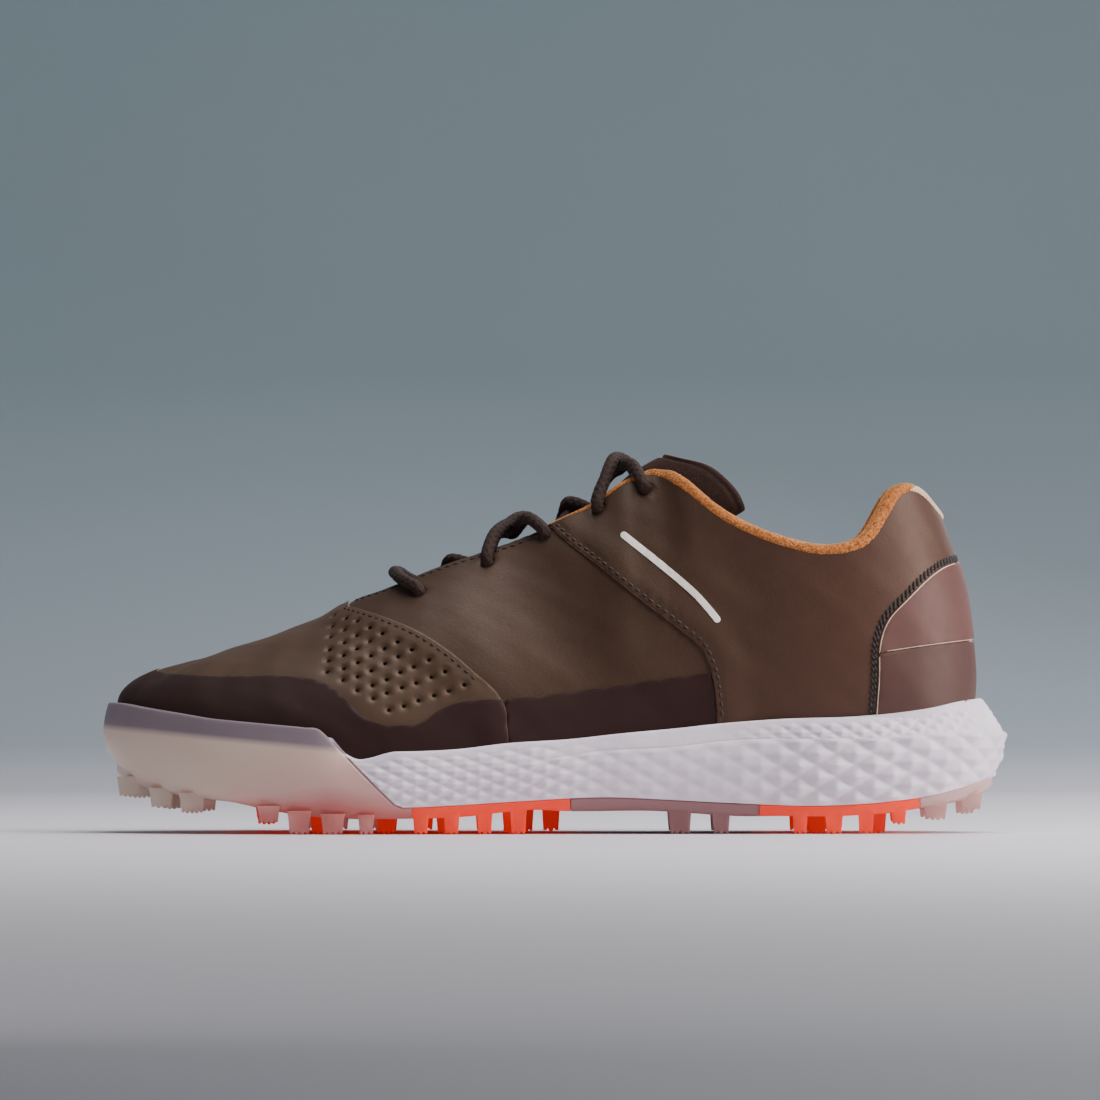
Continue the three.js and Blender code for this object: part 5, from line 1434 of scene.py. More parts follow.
def build_collar_lining():
    outlines, borders = [], []
    for side, edge in collar_edge.items():
        start_t = float(np.interp(LINING_S, edge[:, 0], edge[:, 1]))
        top = np.vstack([[LINING_S, start_t], edge[edge[:, 0] > LINING_S]])
        outlines.append((side, join(top, rising_line(1.0, top[-1, 1], .02),
                                    level_line(1.0, LINING_S, .02),
                                    rising_line(LINING_S, .02, start_t))))
        borders.append((side, top))
    sheet = Sheet(outlines, borders, spacing=2.2, radius=.3, rings=[.6, 1.6])
    height = -2.9 - pad(*sheet.st.T) + .06 * nap_noise(sheet.points, 2.1, .4)
    ob = sheet.build("collar_lining_suede", height, .8)
    piece(ob, M_SUEDE, "collar_suede", "collar_lining")


def build_collar_padding(side):
    """Soft padding between the leather and the suede, well clear of both."""
    edge = collar_edge[side]
    top = shift(side, edge[(edge[:, 0] > LINING_S + .006) & (edge[:, 0] < .992)], -3.6)
    top = top[(top[:, 0] > LINING_S + .008) & (top[:, 0] < .990)]
    polygon = join(top, rising_line(top[-1, 0], top[-1, 1], .60),
                   level_line(top[-1, 0], top[0, 0], .60), rising_line(top[0, 0], .60, top[0, 1]))
    sheet = Sheet([(side, polygon)], [(side, top)], spacing=3.0, radius=.3, rings=[.6])
    ob = sheet.build("collar_padding_" + SIDES[side], -1.35, 1.35 + pad(*sheet.st.T))
    piece(ob, M_PADFOAM, "collar_foam", "collar_foam_" + SIDES[side])


def build_vamp_lining():
    outlines, borders = [], []
    rear_s = LINING_S - .002
    for side in SIDES:
        edge = shift(side, throat[side], -1.2)
        edge = edge[(edge[:, 0] < LINING_S - .004) & (edge[:, 0] > edge[0, 0])]
        rear_t = float(np.interp(LINING_S - .003, *throat[side].T)) - .01
        outlines.append((side, join(rising_line(0, .05, 1), level_line(0, edge[0, 0] - .004, 1.0),
                                    edge, rising_line(rear_s, rear_t, .05),
                                    level_line(rear_s, 0, .05))))
        borders.append((side, edge))
    sheet = Sheet(outlines, borders, spacing=2.6, radius=.25, rings=[.6, 1.6])
    piece(sheet.build("vamp_lining_knit", -2.95, .75), M_LINING, "lining", "vamp_lining")


build_rim()
build_heel_binding()
build_collar_lining()
for side in SIDES:
    build_collar_padding(side)
build_vamp_lining()


# ------------------------------------------------------------------ closed bodies
def close_grid(loops):
    """Faces of an array (columns, rows, 3) with cyclic rows. Welding folds its ends shut."""
    columns, rows = loops.shape[:2]
    points = loops.reshape(-1, 3)
    i, j = np.meshgrid(np.arange(columns - 1), np.arange(rows), indexing="ij")
    a, b = i * rows + j, i * rows + (j + 1) % rows
    quads = np.stack([a, b, b + rows, a + rows], -1).reshape(-1, 4)
    first, group = merge_points(points, 2e-3)
    faces = []
    for f in group[quads].tolist():
        corners = [v for k, v in enumerate(f) if v != f[k - 1]]
        if len(corners) >= 3 and len(corners) == len(set(corners)):
            faces.append(corners)
    used = np.unique([v for f in faces for v in f])
    renumber = np.full(len(first), -1)
    renumber[used] = np.arange(len(used))
    return points[first][used], [[renumber[v] for v in f] for f in faces]


def bridge(start, end, count, height):
    """Rows between two rows; height(points, u) gives their z."""
    rows = []
    for k in range(1, count):
        u = k / count
        p = start * (1 - u) + end * u
        p[:, 2] = height(p, u)
        rows.append(p)
    return rows


def shell(walls, count, top_height, bottom_height):
    """Closed body from the rows of both side walls, each listed from the bottom up."""
    left, right = walls["L"], walls["M"]
    loop = (left + bridge(left[-1], right[-1], count, top_height)
            + right[::-1] + bridge(right[0], left[0], count, bottom_height))
    return close_grid(np.stack(loop, 1))


def build_footbed():
    # rows of (inset from the feather edge, height above the board), bottom to top
    profile = [(7.0, 2.15), (6.2, 2.3), (5.9, 2.9), (5.8, 5.6)]
    profile += [(5.8 + 1.6 * (1 - math.cos(a)), 5.9 + 1.5 * math.sin(a))
                for a in np.linspace(0, math.pi / 2, 6)]
    low, high = profile[0][1], profile[-1][1]
    s = .5 - .5 * np.cos(np.linspace(0, math.pi, 150))
    walls = {}
    for side in SIDES:
        edge = feather[side](s)
        nx, ny = plan_normal(feather, side, s)
        walls[side] = [np.stack([edge[:, 0] - nx * inset, edge[:, 1] - ny * inset,
                                 BOARD_Z(edge[:, 0]) + rise], -1) for inset, rise in profile]
    points, faces = shell(
        walls, 14, lambda p, u: BOARD_Z(p[:, 0]) + (high - .9 * math.sin(math.pi * u) ** .7),
        lambda p, u: BOARD_Z(p[:, 0]) + low)
    is_top = points[:, 2] > BOARD_Z(points[:, 0]) + 4
    points[:, 2] += np.where(is_top, wobble(points, .12, 9.0), 0)
    ob = fix_normals(new_object("footbed_cushion", points, faces, sharp_above=60))
    piece(ob, M_FOOTBED, "footbed", "insole", body="footbed")


build_footbed()

# ------------------------------------------------------------------ tongue
FLAP_UP = np.array([.867, 0, .498])       # along the flap, towards its free end
FLAP_DOWN = np.array([.498, 0, -.867])    # square to it, downwards
FLAP_ROOT = np.array([27, 0, 121.2])
FLAP_LENGTH = height_curve([(0, 12.6), (3.2, 15.8), (8.7, 21.4), (18, 25.6), (24, 26.6),
                            (30, 25.8)])  # (distance down the flap's curve, length)
# (x, half width on the -y half, half width on the +y half)
TONGUE_WIDTH = spline([(-75, 8, 16), (-68, 12, 19), (-60, 16, 22), (-30, 17.3, 20.6),
                       (0, 18.5, 19), (14, 14, 14), (30, 13.4, 13.4)])
TONGUE_THICKNESS = 3.4
ACROSS = np.linspace(-1, 1, 57)


def flap_row(k):
    """Row of the free flap, from its root (0) to its end (1)."""
    angle = ACROSS * math.pi / 2
    y = 15.4 * np.sign(np.sin(angle)) * np.abs(np.sin(angle)) ** .82
    down = 30 * (1 - np.abs(np.cos(angle)) ** .9)
    length = FLAP_LENGTH(np.maximum(0, down)) * k
    return (FLAP_ROOT + down[:, None] * FLAP_DOWN + np.stack([0 * y, y, 0 * y], -1)
            + length[:, None] * FLAP_UP)


def tongue_row(x):
    """Row across the tongue under the throat."""
    width = TONGUE_WIDTH(np.array(x))
    y = np.where(ACROSS < 0, ACROSS * width[0], ACROSS * width[1])
    row = np.zeros((len(y), 3))
    middle = RIDGE_Y(np.array(x))
    for side in SIDES:
        mine = (y < middle) if side == "L" else (y >= middle)
        if not mine.any():
            continue
        st = invert(side, np.column_stack([np.full(mine.sum(), x), y[mine]]), axes=(0, 1),
                    smax=.7, tmin=.5)
        p = surf(side, *st.T)
        lift = 5 * smooth(10, 27, p[:, 0]) * (1 - smooth(9, 14, np.abs(p[:, 1])))
        row[mine] = p + normal(side, *st.T) * (-8.6 + lift)[:, None]
    return row


def tongue_grid():
    rows = [tongue_row(x) for x in np.linspace(-73, 8, 42)]
    # Hermite blend from the last row under the throat to the root of the flap
    start, before, end = rows[-1], rows[-2], flap_row(0)
    gap = np.linalg.norm(end - start, axis=1)
    reach = gap / np.maximum(np.linalg.norm(start - before, axis=1), 1e-6)
    leave = (start - before) * reach[:, None]
    arrive = FLAP_UP[None] * gap[:, None]
    blend_rows, flap_rows = 14, 24
    for j in range(1, blend_rows):
        u = j / blend_rows
        rows.append((2 * u ** 3 - 3 * u ** 2 + 1) * start
                    + (u ** 3 - 2 * u ** 2 + u) * leave * .9
                    + (-2 * u ** 3 + 3 * u ** 2) * end + (u ** 3 - u ** 2) * arrive * .9)
    rows += [flap_row(j / flap_rows) for j in range(flap_rows + 1)]
    grid = np.stack(rows)
    for _ in range(3):
        grid[1:-1, 1:-1] = .5 * grid[1:-1, 1:-1] + .125 * (
            grid[:-2, 1:-1] + grid[2:, 1:-1] + grid[1:-1, :-2] + grid[1:-1, 2:])
    return grid


def edge_distances(grid):
    """Distance of every grid point from the nearest edge, along the grid lines."""
    nearest = np.full(grid.shape[:2], np.inf)
    for axis in (0, 1):
        steps = np.linalg.norm(np.diff(grid, axis=axis), axis=2)
        pads = [(1, 0) if i == axis else (0, 0) for i in (0, 1)]
        forward = np.pad(np.cumsum(steps, axis=axis), pads)
        backward = np.flip(np.pad(np.cumsum(np.flip(steps, axis), axis=axis), pads), axis)
        nearest = np.minimum(nearest, np.minimum(forward, backward))
    return nearest


def build_tongue():
    grid = tongue_grid()
    normals = unit(np.cross(np.gradient(grid, axis=0), np.gradient(grid, axis=1)))
    if normals[30, 28, 2] < 0:  # make them point up
        normals = -normals
    edge = edge_distances(grid)
    trim = TONGUE_THICKNESS - TONGUE_THICKNESS * rounded(edge, 1.3, floor=.02)
    crown = .9 * smooth(2.2, 7.5, edge) * smooth(-60, -30, grid[..., 0])
    seam = .75 * np.exp(-((edge - 2.3) / .55) ** 2)
    rise = -trim / 2 + .2 * crown - seam + wobble(grid, .15, 9.0, 1.0)
    drop = TONGUE_THICKNESS - trim / 2 + .25 * crown - seam * .6
    top = grid + normals * rise[..., None]
    bottom = grid - normals * drop[..., None]
    rows, columns = grid.shape[:2]
    count = rows * columns
    index = np.arange(count).reshape(rows, columns)
    faces = []
    for i in range(rows - 1):
        for j in range(columns - 1):
            a, b, c, d = index[i, j], index[i + 1, j], index[i + 1, j + 1], index[i, j + 1]
            faces += [(a, b, c, d), (a + count, d + count, c + count, b + count)]
    rim = [*index[0], *index[1:, -1], *index[-1, -2::-1], *index[-2:0:-1, 0]]
    faces += [(a, b, b + count, a + count) for a, b in zip(rim, rim[1:] + rim[:1])]
    points = np.vstack([top.reshape(-1, 3), bottom.reshape(-1, 3)])
    ob = fix_normals(new_object("tongue_padded", points, faces))
    subdivision = ob.modifiers.new("sub", "SUBSURF")
    subdivision.levels = subdivision.render_levels = 1
    paint(ob, M_TONGUE)
    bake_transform(ob)
    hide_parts("tongue_lower", "tongue_upper")


build_tongue()

# ------------------------------------------------------------------ lace
OVER, UNDER = 2.75, -5.9  # heights above and below the leather
LACE_SIDES = 28
# (from eyelet, to eyelet, height halfway), changing side every time; eyelets count from the toe
LATERAL_RUN = [(4, 3, .9), (3, 2, UNDER), (2, 1, -2.9), (1, 0, UNDER)]
MEDIAL_RUN = [(0, 1, -2.1), (1, 2, .8), (2, 3, -2.1), (3, 4, 4.7)]
# (s and t from the last eyelet, height), from the end of the lace
TAIL = [(-.004, -.4, -9), (-.004, -.26, -8.4), (-.002, -.1, -8)]
AGLET_LENGTH = 11


def lace_knots():
    """Points of the lace from its lateral to its medial end."""
    knots = []

    def put(side, s, t, height):
        knots.append(place(side, np.array([s]), np.array([t]), height)[0])

    def tail(side, offsets):
        for ds, dt, height in offsets:
            put(side, eyelets[4][0] + ds, eyelets[4][1] + dt, height)

    def through(side, hole, outwards):
        heights = [UNDER + .4, -2.2, 1.5]
        for height in heights if outwards else heights[::-1]:
            put(side, hole[0], hole[1], height)

    def cross(side, start, other, end, edge_height, middle_height):
        u0, u1 = -(1 - start[1]), 1 - end[1]
        for k in (.2, .38, .5, .62, .8):
            u, s = u0 + (u1 - u0) * k, start[0] + (end[0] - start[0]) * k
            centred = 1 - float(smooth(0, .3, abs(k - .5)))
            put(side if u < 0 else other, s, 1 - abs(u),
                edge_height + (middle_height - edge_height) * centred)

    def run(side, crossings):
        for start, end, middle_height in crossings:
            other = "M" if side == "L" else "L"
            cross(side, eyelets[start], other, eyelets[end], OVER if side == "L" else UNDER,
                  middle_height)
            through(other, eyelets[end], outwards=other == "L")
            side = other

    tail("L", TAIL)
    through("L", eyelets[4], outwards=True)
    run("L", LATERAL_RUN)
    # straight bar across the first pair of eyelets
    s, t = eyelets[0]
    for k in (.18, .36, .5, .64, .82):
        u = -(1 - t) * (1 - 2 * k)
        put("L" if u < 0 else "M", s - .02 * math.sin(math.pi * k) ** .5, 1 - abs(u),
            2.4 if .3 < k < .7 else 2.6)
    through("M", eyelets[0], outwards=False)
    run("M", MEDIAL_RUN)
    tail("M", TAIL[::-1])
    return np.array(knots)


def catmull(points):
    """Centripetal Catmull-Rom curve through the points."""
    points = np.vstack([2 * points[0] - points[1], points, 2 * points[-1] - points[-2]])
    out = []
    for i in range(1, len(points) - 2):
        p0, p1, p2, p3 = points[i - 1:i + 3]
        t0 = 0.0
        t1 = t0 + max(np.linalg.norm(p1 - p0), 1e-6) ** .5
        t2 = t1 + max(np.linalg.norm(p2 - p1), 1e-6) ** .5
        t3 = t2 + max(np.linalg.norm(p3 - p2), 1e-6) ** .5
        t = np.linspace(t1, t2, 24, endpoint=False)[:, None]
        a1 = (t1 - t) / (t1 - t0) * p0 + (t - t0) / (t1 - t0) * p1
        a2 = (t2 - t) / (t2 - t1) * p1 + (t - t1) / (t2 - t1) * p2
        a3 = (t3 - t) / (t3 - t2) * p2 + (t - t2) / (t3 - t2) * p3
        b1 = (t2 - t) / (t2 - t0) * a1 + (t - t0) / (t2 - t0) * a2
        b2 = (t3 - t) / (t3 - t1) * a2 + (t - t1) / (t3 - t1) * a3
        out.append((t2 - t) / (t2 - t1) * b1 + (t - t1) / (t2 - t1) * b2)
    out.append(points[-2][None])
    return np.vstack(out)


def frames(path):
    """Tangents and two cross directions that don't twist along the path."""
    along = np.gradient(path, axis=0)
    along /= np.linalg.norm(along, axis=1)[:, None]
    first = np.cross(along[0], [0, 0, 1.0])
    first /= np.linalg.norm(first)
    across = [first]
    for k in range(1, len(path)):
        v = across[-1] - along[k] * (across[-1] @ along[k])
        across.append(v / np.linalg.norm(v))
    across = np.array(across)
    return along, across, np.cross(along, across)


def tube(name, path, radius, sides):
    """Tube with radius(length, angle)."""
    _, a, b = frames(path)
    angle = np.arange(sides) * 2 * math.pi / sides
    r = radius(lengths(path)[:, None], angle[None, :])
    points = (path[:, None] + a[:, None] * (r * np.cos(angle))[..., None]
              + b[:, None] * (r * np.sin(angle))[..., None])
    return fix_normals(new_object(name, points.reshape(-1, 3), ring_faces(len(path), sides)))


def braid(length, angle):
    """Radius of the lace: two sets of four strands winding against each other."""
    pitch, strands = 2.6, 4
    turn = 2 * math.pi * length / pitch
    crests = np.maximum(np.cos(strands * angle + turn), np.cos(strands * angle - turn))
    return 1.95 + .19 * crests + .03 * np.cos(turn * 3 + 2 * angle) + .05 * np.sin(length * .31)


def aglet_radius(length, angle):
    """Slight taper, rounded ends and a crimped stretch."""
    end = rounded(np.minimum(length, AGLET_LENGTH - length), .7, floor=.12)
    crimp = .05 * np.cos(6 * length) * ((length > 2) & (length < 5))
    return (1.75 - .15 * length / AGLET_LENGTH) * end + crimp + 0 * angle


def build_lace():
    path = relax(resample(catmull(lace_knots()), .42), 10)
    piece(tube("lace_cord", path, braid, LACE_SIDES), M_LACE, "lace", "lace")
    along = frames(path)[0]
    for name, start, direction in (("aglet_lateral", path[0], -along[0]),
                                   ("aglet_medial", path[-1], along[-1])):
        line = start + np.outer(.2 + AGLET_LENGTH * np.linspace(0, 1, 26), direction)
        piece(tube(name + "_crimped", line, aglet_radius, 20), M_AGLET, "aglet", name)


build_lace()

# ------------------------------------------------------------------ sole sides
# (share of the height, inset from the outline)
INSET = height_curve([(0, 4.0), (.06, 3.0), (.15, 1.8), (.42, 0), (.75, .3), (1, 1.6)])
PERIMETER = 322.0  # nominal length of one side of the outline


def wrap_x(z):
    """x of the wrap's rear edge at a height."""
    return np.interp(z, WRAP_EDGE[::-1, 1], WRAP_EDGE[::-1, 0])


def wrap_top(x):
    """Top of the clear rubber: the toe wrap, then a thin plate."""
    z = np.interp(x, WRAP_EDGE[:, 0], WRAP_EDGE[:, 1])
    return np.where(x < WRAP_EDGE[0, 0], BITE_Z(x),
                    np.where(x > WRAP_EDGE[-1, 0], MIDSOLE_Z(x) - .12, z))


def arc_stations(side, step):
    """Evenly spaced s along the outline, and the nominal length there."""
    s = np.linspace(0, 1, 4000)
    travelled = np.r_[0, np.cumsum(np.hypot(*np.diff(outline[side](s), axis=0).T))]
    at = np.linspace(0, travelled[-1], int(round(PERIMETER / step)) + 1)
    return np.interp(at, travelled, s), at / travelled[-1] * PERIMETER


def sole_wall(side, s, z, extra=0.0):
    """Points of the sole side at heights z, set in by extra."""
    edge = outline[side](s)
    nx, ny = plan_normal(outline, side, s)
    x = edge[..., 0]
    low, high, crease = PLATE_Z(x), BITE_Z(x), CREASE_Z(x)
    share = np.clip((z - low) / (high - low), 0, 1)
    tier = np.clip((z - crease) / np.maximum(high - crease, 1), 0, 1)
    inset = (INSET(share) + 5.6 * smooth(60, 150, x) * tier ** .9
             + .55 * smooth(5, 70, x) * (tier > 1e-4) + extra)
    return np.stack([edge[..., 0] - nx * inset, edge[..., 1] - ny * inset, z + 0 * x], -1)


def diamonds(u, v):
    a, b = np.abs(2 * ((u + v) % 1.0) - 1), np.abs(2 * ((u - v) % 1.0) - 1)
    return 1 - (a ** 5 + b ** 5) ** .2


def foam_relief(length, x, z):
    """Diamond texture of the foam side, growing towards the heel, and the crease groove."""
    bottom, crease, top = MIDSOLE_Z(x), CREASE_Z(x), BITE_Z(x)
    stations = np.linspace(0, PERIMETER, 1300)
    pitch = 7.8 + 3.7 * smooth(140, 235, stations)
    turns = np.interp(length, stations, np.r_[0, np.cumsum(np.diff(stations) / pitch[1:])])
    pitch_z = 4.2 + 3.5 * smooth(140, 235, length)
    main = diamonds(turns, (z - crease) / pitch_z + .15)
    top_heel = diamonds(length / 6.2, (z - crease) / 4.4)
    is_above = z > crease
    upper = (1 - smooth(15, 45, x)) * main * .75 + smooth(45, 75, x) * top_heel * .95
    pattern = np.where(is_above, upper, main)
    rear_depth = .62 - .34 * smooth(-5, 25, x) + .92 * smooth(55, 95, x)
    depth = 2.0 * np.where(x < 0, .62, rear_depth)
    depth = depth * np.where(is_above & (x > 0), .62, 1)
    depth = depth * (1 - .55 * smooth(138, 150, x))
    fade = smooth(0, 1.6, z - bottom) * smooth(0, 2.2, top - 1.0 - z)
    gap = np.abs(z - crease)
    fade = fade * (1 - smooth(0, 1, 1 - gap / .8) * smooth(-20, 10, x) * .6)
    groove = .38 * np.exp(-(gap / .45) ** 2) * smooth(-16, 5, x)
    behind_wrap = smooth(0, 1.6, x - wrap_x(np.clip(z, 9, 34)) - .6)
    return depth * (pattern - .35) * fade * behind_wrap - groove


def upper_wall(side, s):
    """Function of z and distance: points that far off the upper's surface at height z."""
    grid_s, grid_t = np.meshgrid(s, np.linspace(0, .6, 121), indexing="ij")
    points, normals = surf(side, grid_s, grid_t), normal(side, grid_s, grid_t)
    i = np.arange(len(s))

    def at(z, distance):
        k = np.clip((points[:, :, 2] < z[:, None]).sum(1) - 1, 0, 119)
        z0, z1 = points[i, k, 2], points[i, k + 1, 2]
        u = np.clip((z - z0) / np.where(np.abs(z1 - z0) < 1e-9, 1, z1 - z0), 0, 1)[:, None]
        n = normals[i, k] * (1 - u) + normals[i, k + 1] * u
        n /= np.linalg.norm(n, axis=1)[:, None]
        out = points[i, k] * (1 - u) + points[i, k + 1] * u + n * distance
        out[:, 2] = z
        return out
    return at


def midsole_rows(side):
    """Rows up the outside, over the lip and down the inside of one foam wall."""
    s, length = arc_stations(side, .62)
    x = outline[side](s)[:, 0]
    bottom, top = MIDSOLE_Z(x), BITE_Z(x)
    # lower behind the toe wrap
    toe_top = np.interp(x, [-160, -151, -121, -92, -78.5, -74.5], [38.5, 37, 31.8, 29.4, 29.0, 33.0])
    top = np.where(x < -74.5, np.minimum(toe_top, top), top)
    top = np.where((x >= -74.5) & (x < -70), np.minimum(top, 33), top)
    crease = np.minimum(CREASE_Z(x), top - 2.5)
    below, beyond = 34, 26  # rows below and above the crease
    heights = [bottom + (crease - .22 - bottom) * k / (below - 1) for k in range(below)]
    heights.append(crease)
    heights += [crease + .22 + (top - .7 - crease - .22) * k / (beyond - 1)
                for k in range(beyond)]

    def under_wrap(z):
        return 3.35 * (1 - smooth(0, .9, x - wrap_x(np.clip(z, 8.8, 34.6)) + .1))
    rows = [sole_wall(side, s, z, under_wrap(z) - foam_relief(length, x, z)) for z in heights]
    lip = .7
    for a in (.35, .75, 1.0):
        angle = a * math.pi / 2
        rows.append(sole_wall(side, s, top - lip + lip * math.sin(angle),
                              under_wrap(top) + lip * (1 - math.cos(angle))))
    wall = upper_wall(side, s)
    is_heel, is_toe = (x > 100)[:, None], (x < -70)[:, None]
    inner = np.where(is_toe, wall(top, 1.2), np.where(is_heel, wall(top, 1.1), wall(top, .62)))
    lip_end = rows[-1]
    for u in (.35, .7, 1.0):
        row = lip_end * (1 - u) + inner * u
        row[:, 2] = top - .12 * u
        rows.append(row)
    floor_edge = feather[side](s)
    for k in range(1, 9):
        z = top + (BOARD_Z(floor_edge[:, 0]) + .8 - top) * k / 8
        rows.append(np.where(is_heel, wall(z, 1.1), wall(z, .62)) if k < 8 else wall(z, .3))
    rows.append(np.column_stack([floor_edge, BOARD_Z(floor_edge[:, 0]) - .25]))
    return rows


def build_midsole():
    points, faces = shell({side: midsole_rows(side) for side in SIDES}, 8,
                          lambda p, u: BOARD_Z(p[:, 0]) - .25, lambda p, u: MIDSOLE_Z(p[:, 0]))
    ob = fix_normals(new_object("midsole_foam_textured", points, faces, sharp_above=46))
    piece(ob, M_FOAM, "midsole_foam", "midsole")


build_midsole()


# ------------------------------------------------------------------ outsole
def clear_rows(side):
    """Rows up the outside and down the inside of one wall of the clear rubber."""
    s, _ = arc_stations(side, 1.15)
    x = outline[side](s)[:, 0]
    low, top = PLATE_Z(x), wrap_top(x)
    thick, count = 2.9, 26
    outer_radius, inner_radius = .55, .45
    rows = [sole_wall(side, s, low + (top - outer_radius - low) * (k / (count - 1)),
                      0 if k else .35) for k in range(count)]
    for a in (.4, .8, 1.0):
        angle = a * math.pi / 2
        rows.append(sole_wall(side, s, top - outer_radius + outer_radius * math.sin(angle),
                              outer_radius * (1 - math.cos(angle))))
    for a in (1.0, .6, 0):
        angle = a * math.pi / 2
        rows.append(sole_wall(side, s, top - inner_radius + inner_radius * math.sin(angle),
                              thick - inner_radius * (1 - math.cos(angle))))
    plate_top = np.minimum(MIDSOLE_Z(x) - .12, top - .5)
    for k in range(1, 9):
        z = top - inner_radius + (plate_top - top + inner_radius) * k / 8
        rows.append(sole_wall(side, s, z, thick + .05))
    return rows


def combine(ob, other, operation):
    """Apply a boolean and remove the other object."""
    modifier = ob.modifiers.new("b", "BOOLEAN")
    modifier.operation, modifier.solver, modifier.object = operation, "MANIFOLD", other
    depsgraph = bpy.context.evaluated_depsgraph_get()
    depsgraph.update()
    mesh = bpy.data.meshes.new_from_object(ob.evaluated_get(depsgraph))
    ob.modifiers.clear()
    ob.data = mesh
    bpy.data.objects.remove(other, do_unlink=True)


OUTLINE_POINTS = {side: outline[side](np.linspace(.01, .99, 3000)) for side in SIDES}


def side_y(side, x):
    points = OUTLINE_POINTS[side]
    rising = points[:int(np.argmax(points[:, 0])) + 1]
    return float(np.interp(x, rising[:, 0], rising[:, 1]))


def mid_y(x):
    return (side_y("L", x) + side_y("M", x)) / 2


POD_INNER = 6      # distance of a pod from the middle line
POD_OUTER = 8      # distance from the sole's edge where the pod isn't exposed
POD_CLEARANCE = .22
# name: (side, front x, rear x, x behind which the pod reaches the sole's edge)
PODS = {
    f"{part}_pod_{word}": (side, *reach)
    for part, reach in (("forefoot", (-108, 5.4, -47)), ("heel", (68.5, 122, 68)))
    for side, word in SIDES.items()}


def pod_cutter(side, x0, x1, exposed, grow):
    """Upright prism with the plan of a pod, grown all round."""
    sign = OUTWARD[side]
    stations = np.linspace(x0 - grow, x1 + grow, 61)
    inner = [(x, mid_y(x) + sign * (POD_INNER - grow)) for x in stations]
    outer = []
    beyond = sign * 75
    for x in stations:
        if x <= exposed:
            outer.append((x, side_y(side, x) - sign * (POD_OUTER - grow)))
        else:
            if outer and outer[-1][0] <= exposed:
                step_y = side_y(side, exposed) - sign * (POD_OUTER - grow)
                outer += [(exposed - grow, step_y), (exposed - grow, beyond)]
            outer.append((x, beyond))
    polygon = inner + outer[::-1]
    n = len(polygon)
    points = [(x, y, z) for z in (-20, 60) for x, y in polygon]
    faces = [tuple(range(n))[::-1], tuple(range(n, 2 * n))]
    faces += [(k, (k + 1) % n, (k + 1) % n + n, k + n) for k in range(n)]
    return fix_normals(new_object("cutter", np.array(points, float), faces, smooth_shade=False))


# Studs near the sole's edge: (x, width) or (x, width, tip height)
EDGE_STUDS = {
    "L": [(-142, 8), (-131, 7.6), (-120.5, 8), (-109.8, 7), (-94.7, 6.7, 3.7), (-84.5, 7.4, 0),
          (-73.4, 7.4), (-62.3, 5), (-44.2, 5), (-34, 5), (-23, 5), (-11.8, 5.4), (42, 7.4),
          (55.7, 5.7), (82, 4.7), (93.3, 5.7), (104, 5), (115, 4.7, 3), (127.3, 7.6, 4.5),
          (139.5, 7.5, 7.6)],
    "M": [(-140, 8), (-129, 7.6), (-118.5, 8), (-98, 6.7, 3.9), (-84.5, 7.4, 0), (-73.4, 7.4),
          (-60, 5), (-43.4, 5), (-34.5, 5), (-24, 5), (-1, 6), (42, 7.4), (55.7, 5.7),
          (82, 4.7), (93.3, 5.7), (106, 5), (116, 4.7, 3), (127.3, 7.6, 4.5),
          (139.5, 7.5, 7.6)]}
# (x, y) of the studs further in
INNER_STUDS = [
    (-128, -8), (-128, 24), (-96, -20), (-96, 22), (-78, -24), (-78, 28), (-56, -22), (-56, 22),
    (-36, -24), (-36, 18), (-14, -22), (-10, 14), (88, -16), (88, 16), (108, -15), (108, 15),
    (138, 0)]
INNER_STUD_SIZE = 6.4


def tip_height(x):
    """On the ground, or hanging from the plate where that curves up."""
    plate = float(PLATE_Z(np.array(x)))
    return 0.0 if plate < 8.2 else plate - 5.3


def stud_list():
    """Studs as (x, y, width, depth, tip height)."""
    studs = []
    for side, rows in EDGE_STUDS.items():
        for x, width, *tip in rows:
            y = side_y(side, x) - OUTWARD[side] * (9 if abs(x) > 135 else 6.6)
            studs.append((x, y, width, 6, tip[0] if tip else tip_height(x)))
    size = INNER_STUD_SIZE
    return studs + [(x, y, size, size, tip_height(x)) for x, y in INNER_STUDS]


def stud_body(x, y, width, depth, tip):
    """Tapered block with a notched tip."""
    top = float(PLATE_Z(np.array(x))) + 1.5
    teeth = max(3, int(round(width / 1.75)))
    cuts = np.linspace(-.43 * width, .43 * width, teeth * 2)
    profile = [(-.56 * width, top), (-.50 * width, top - 1.9)]
    for k in range(teeth):
        start, end = cuts[2 * k], cuts[2 * k + 1]
        if k:
            profile.append(((cuts[2 * k - 1] + start) / 2, tip + .95))
        z = tip + (0 if 0 < k < teeth - 1 else .25)
        profile += [(start, z), (end, z)]
    profile += [(.50 * width, top - 1.9), (.56 * width, top)]
    n = len(profile)
    points = []
    for sign in (-1, 1):
        for dx, z in profile:
            k = (z - tip) / max(top - tip, 1)
            points.append((x + dx, y + sign * depth / 2 * (.80 + .2 * k + .1 * (k > .97)), z))
    faces = [tuple(range(n)), tuple(range(n, 2 * n))[::-1]]
    faces += [((k + 1) % n, k, n + k, n + (k + 1) % n) for k in range(n)]
    return points, faces


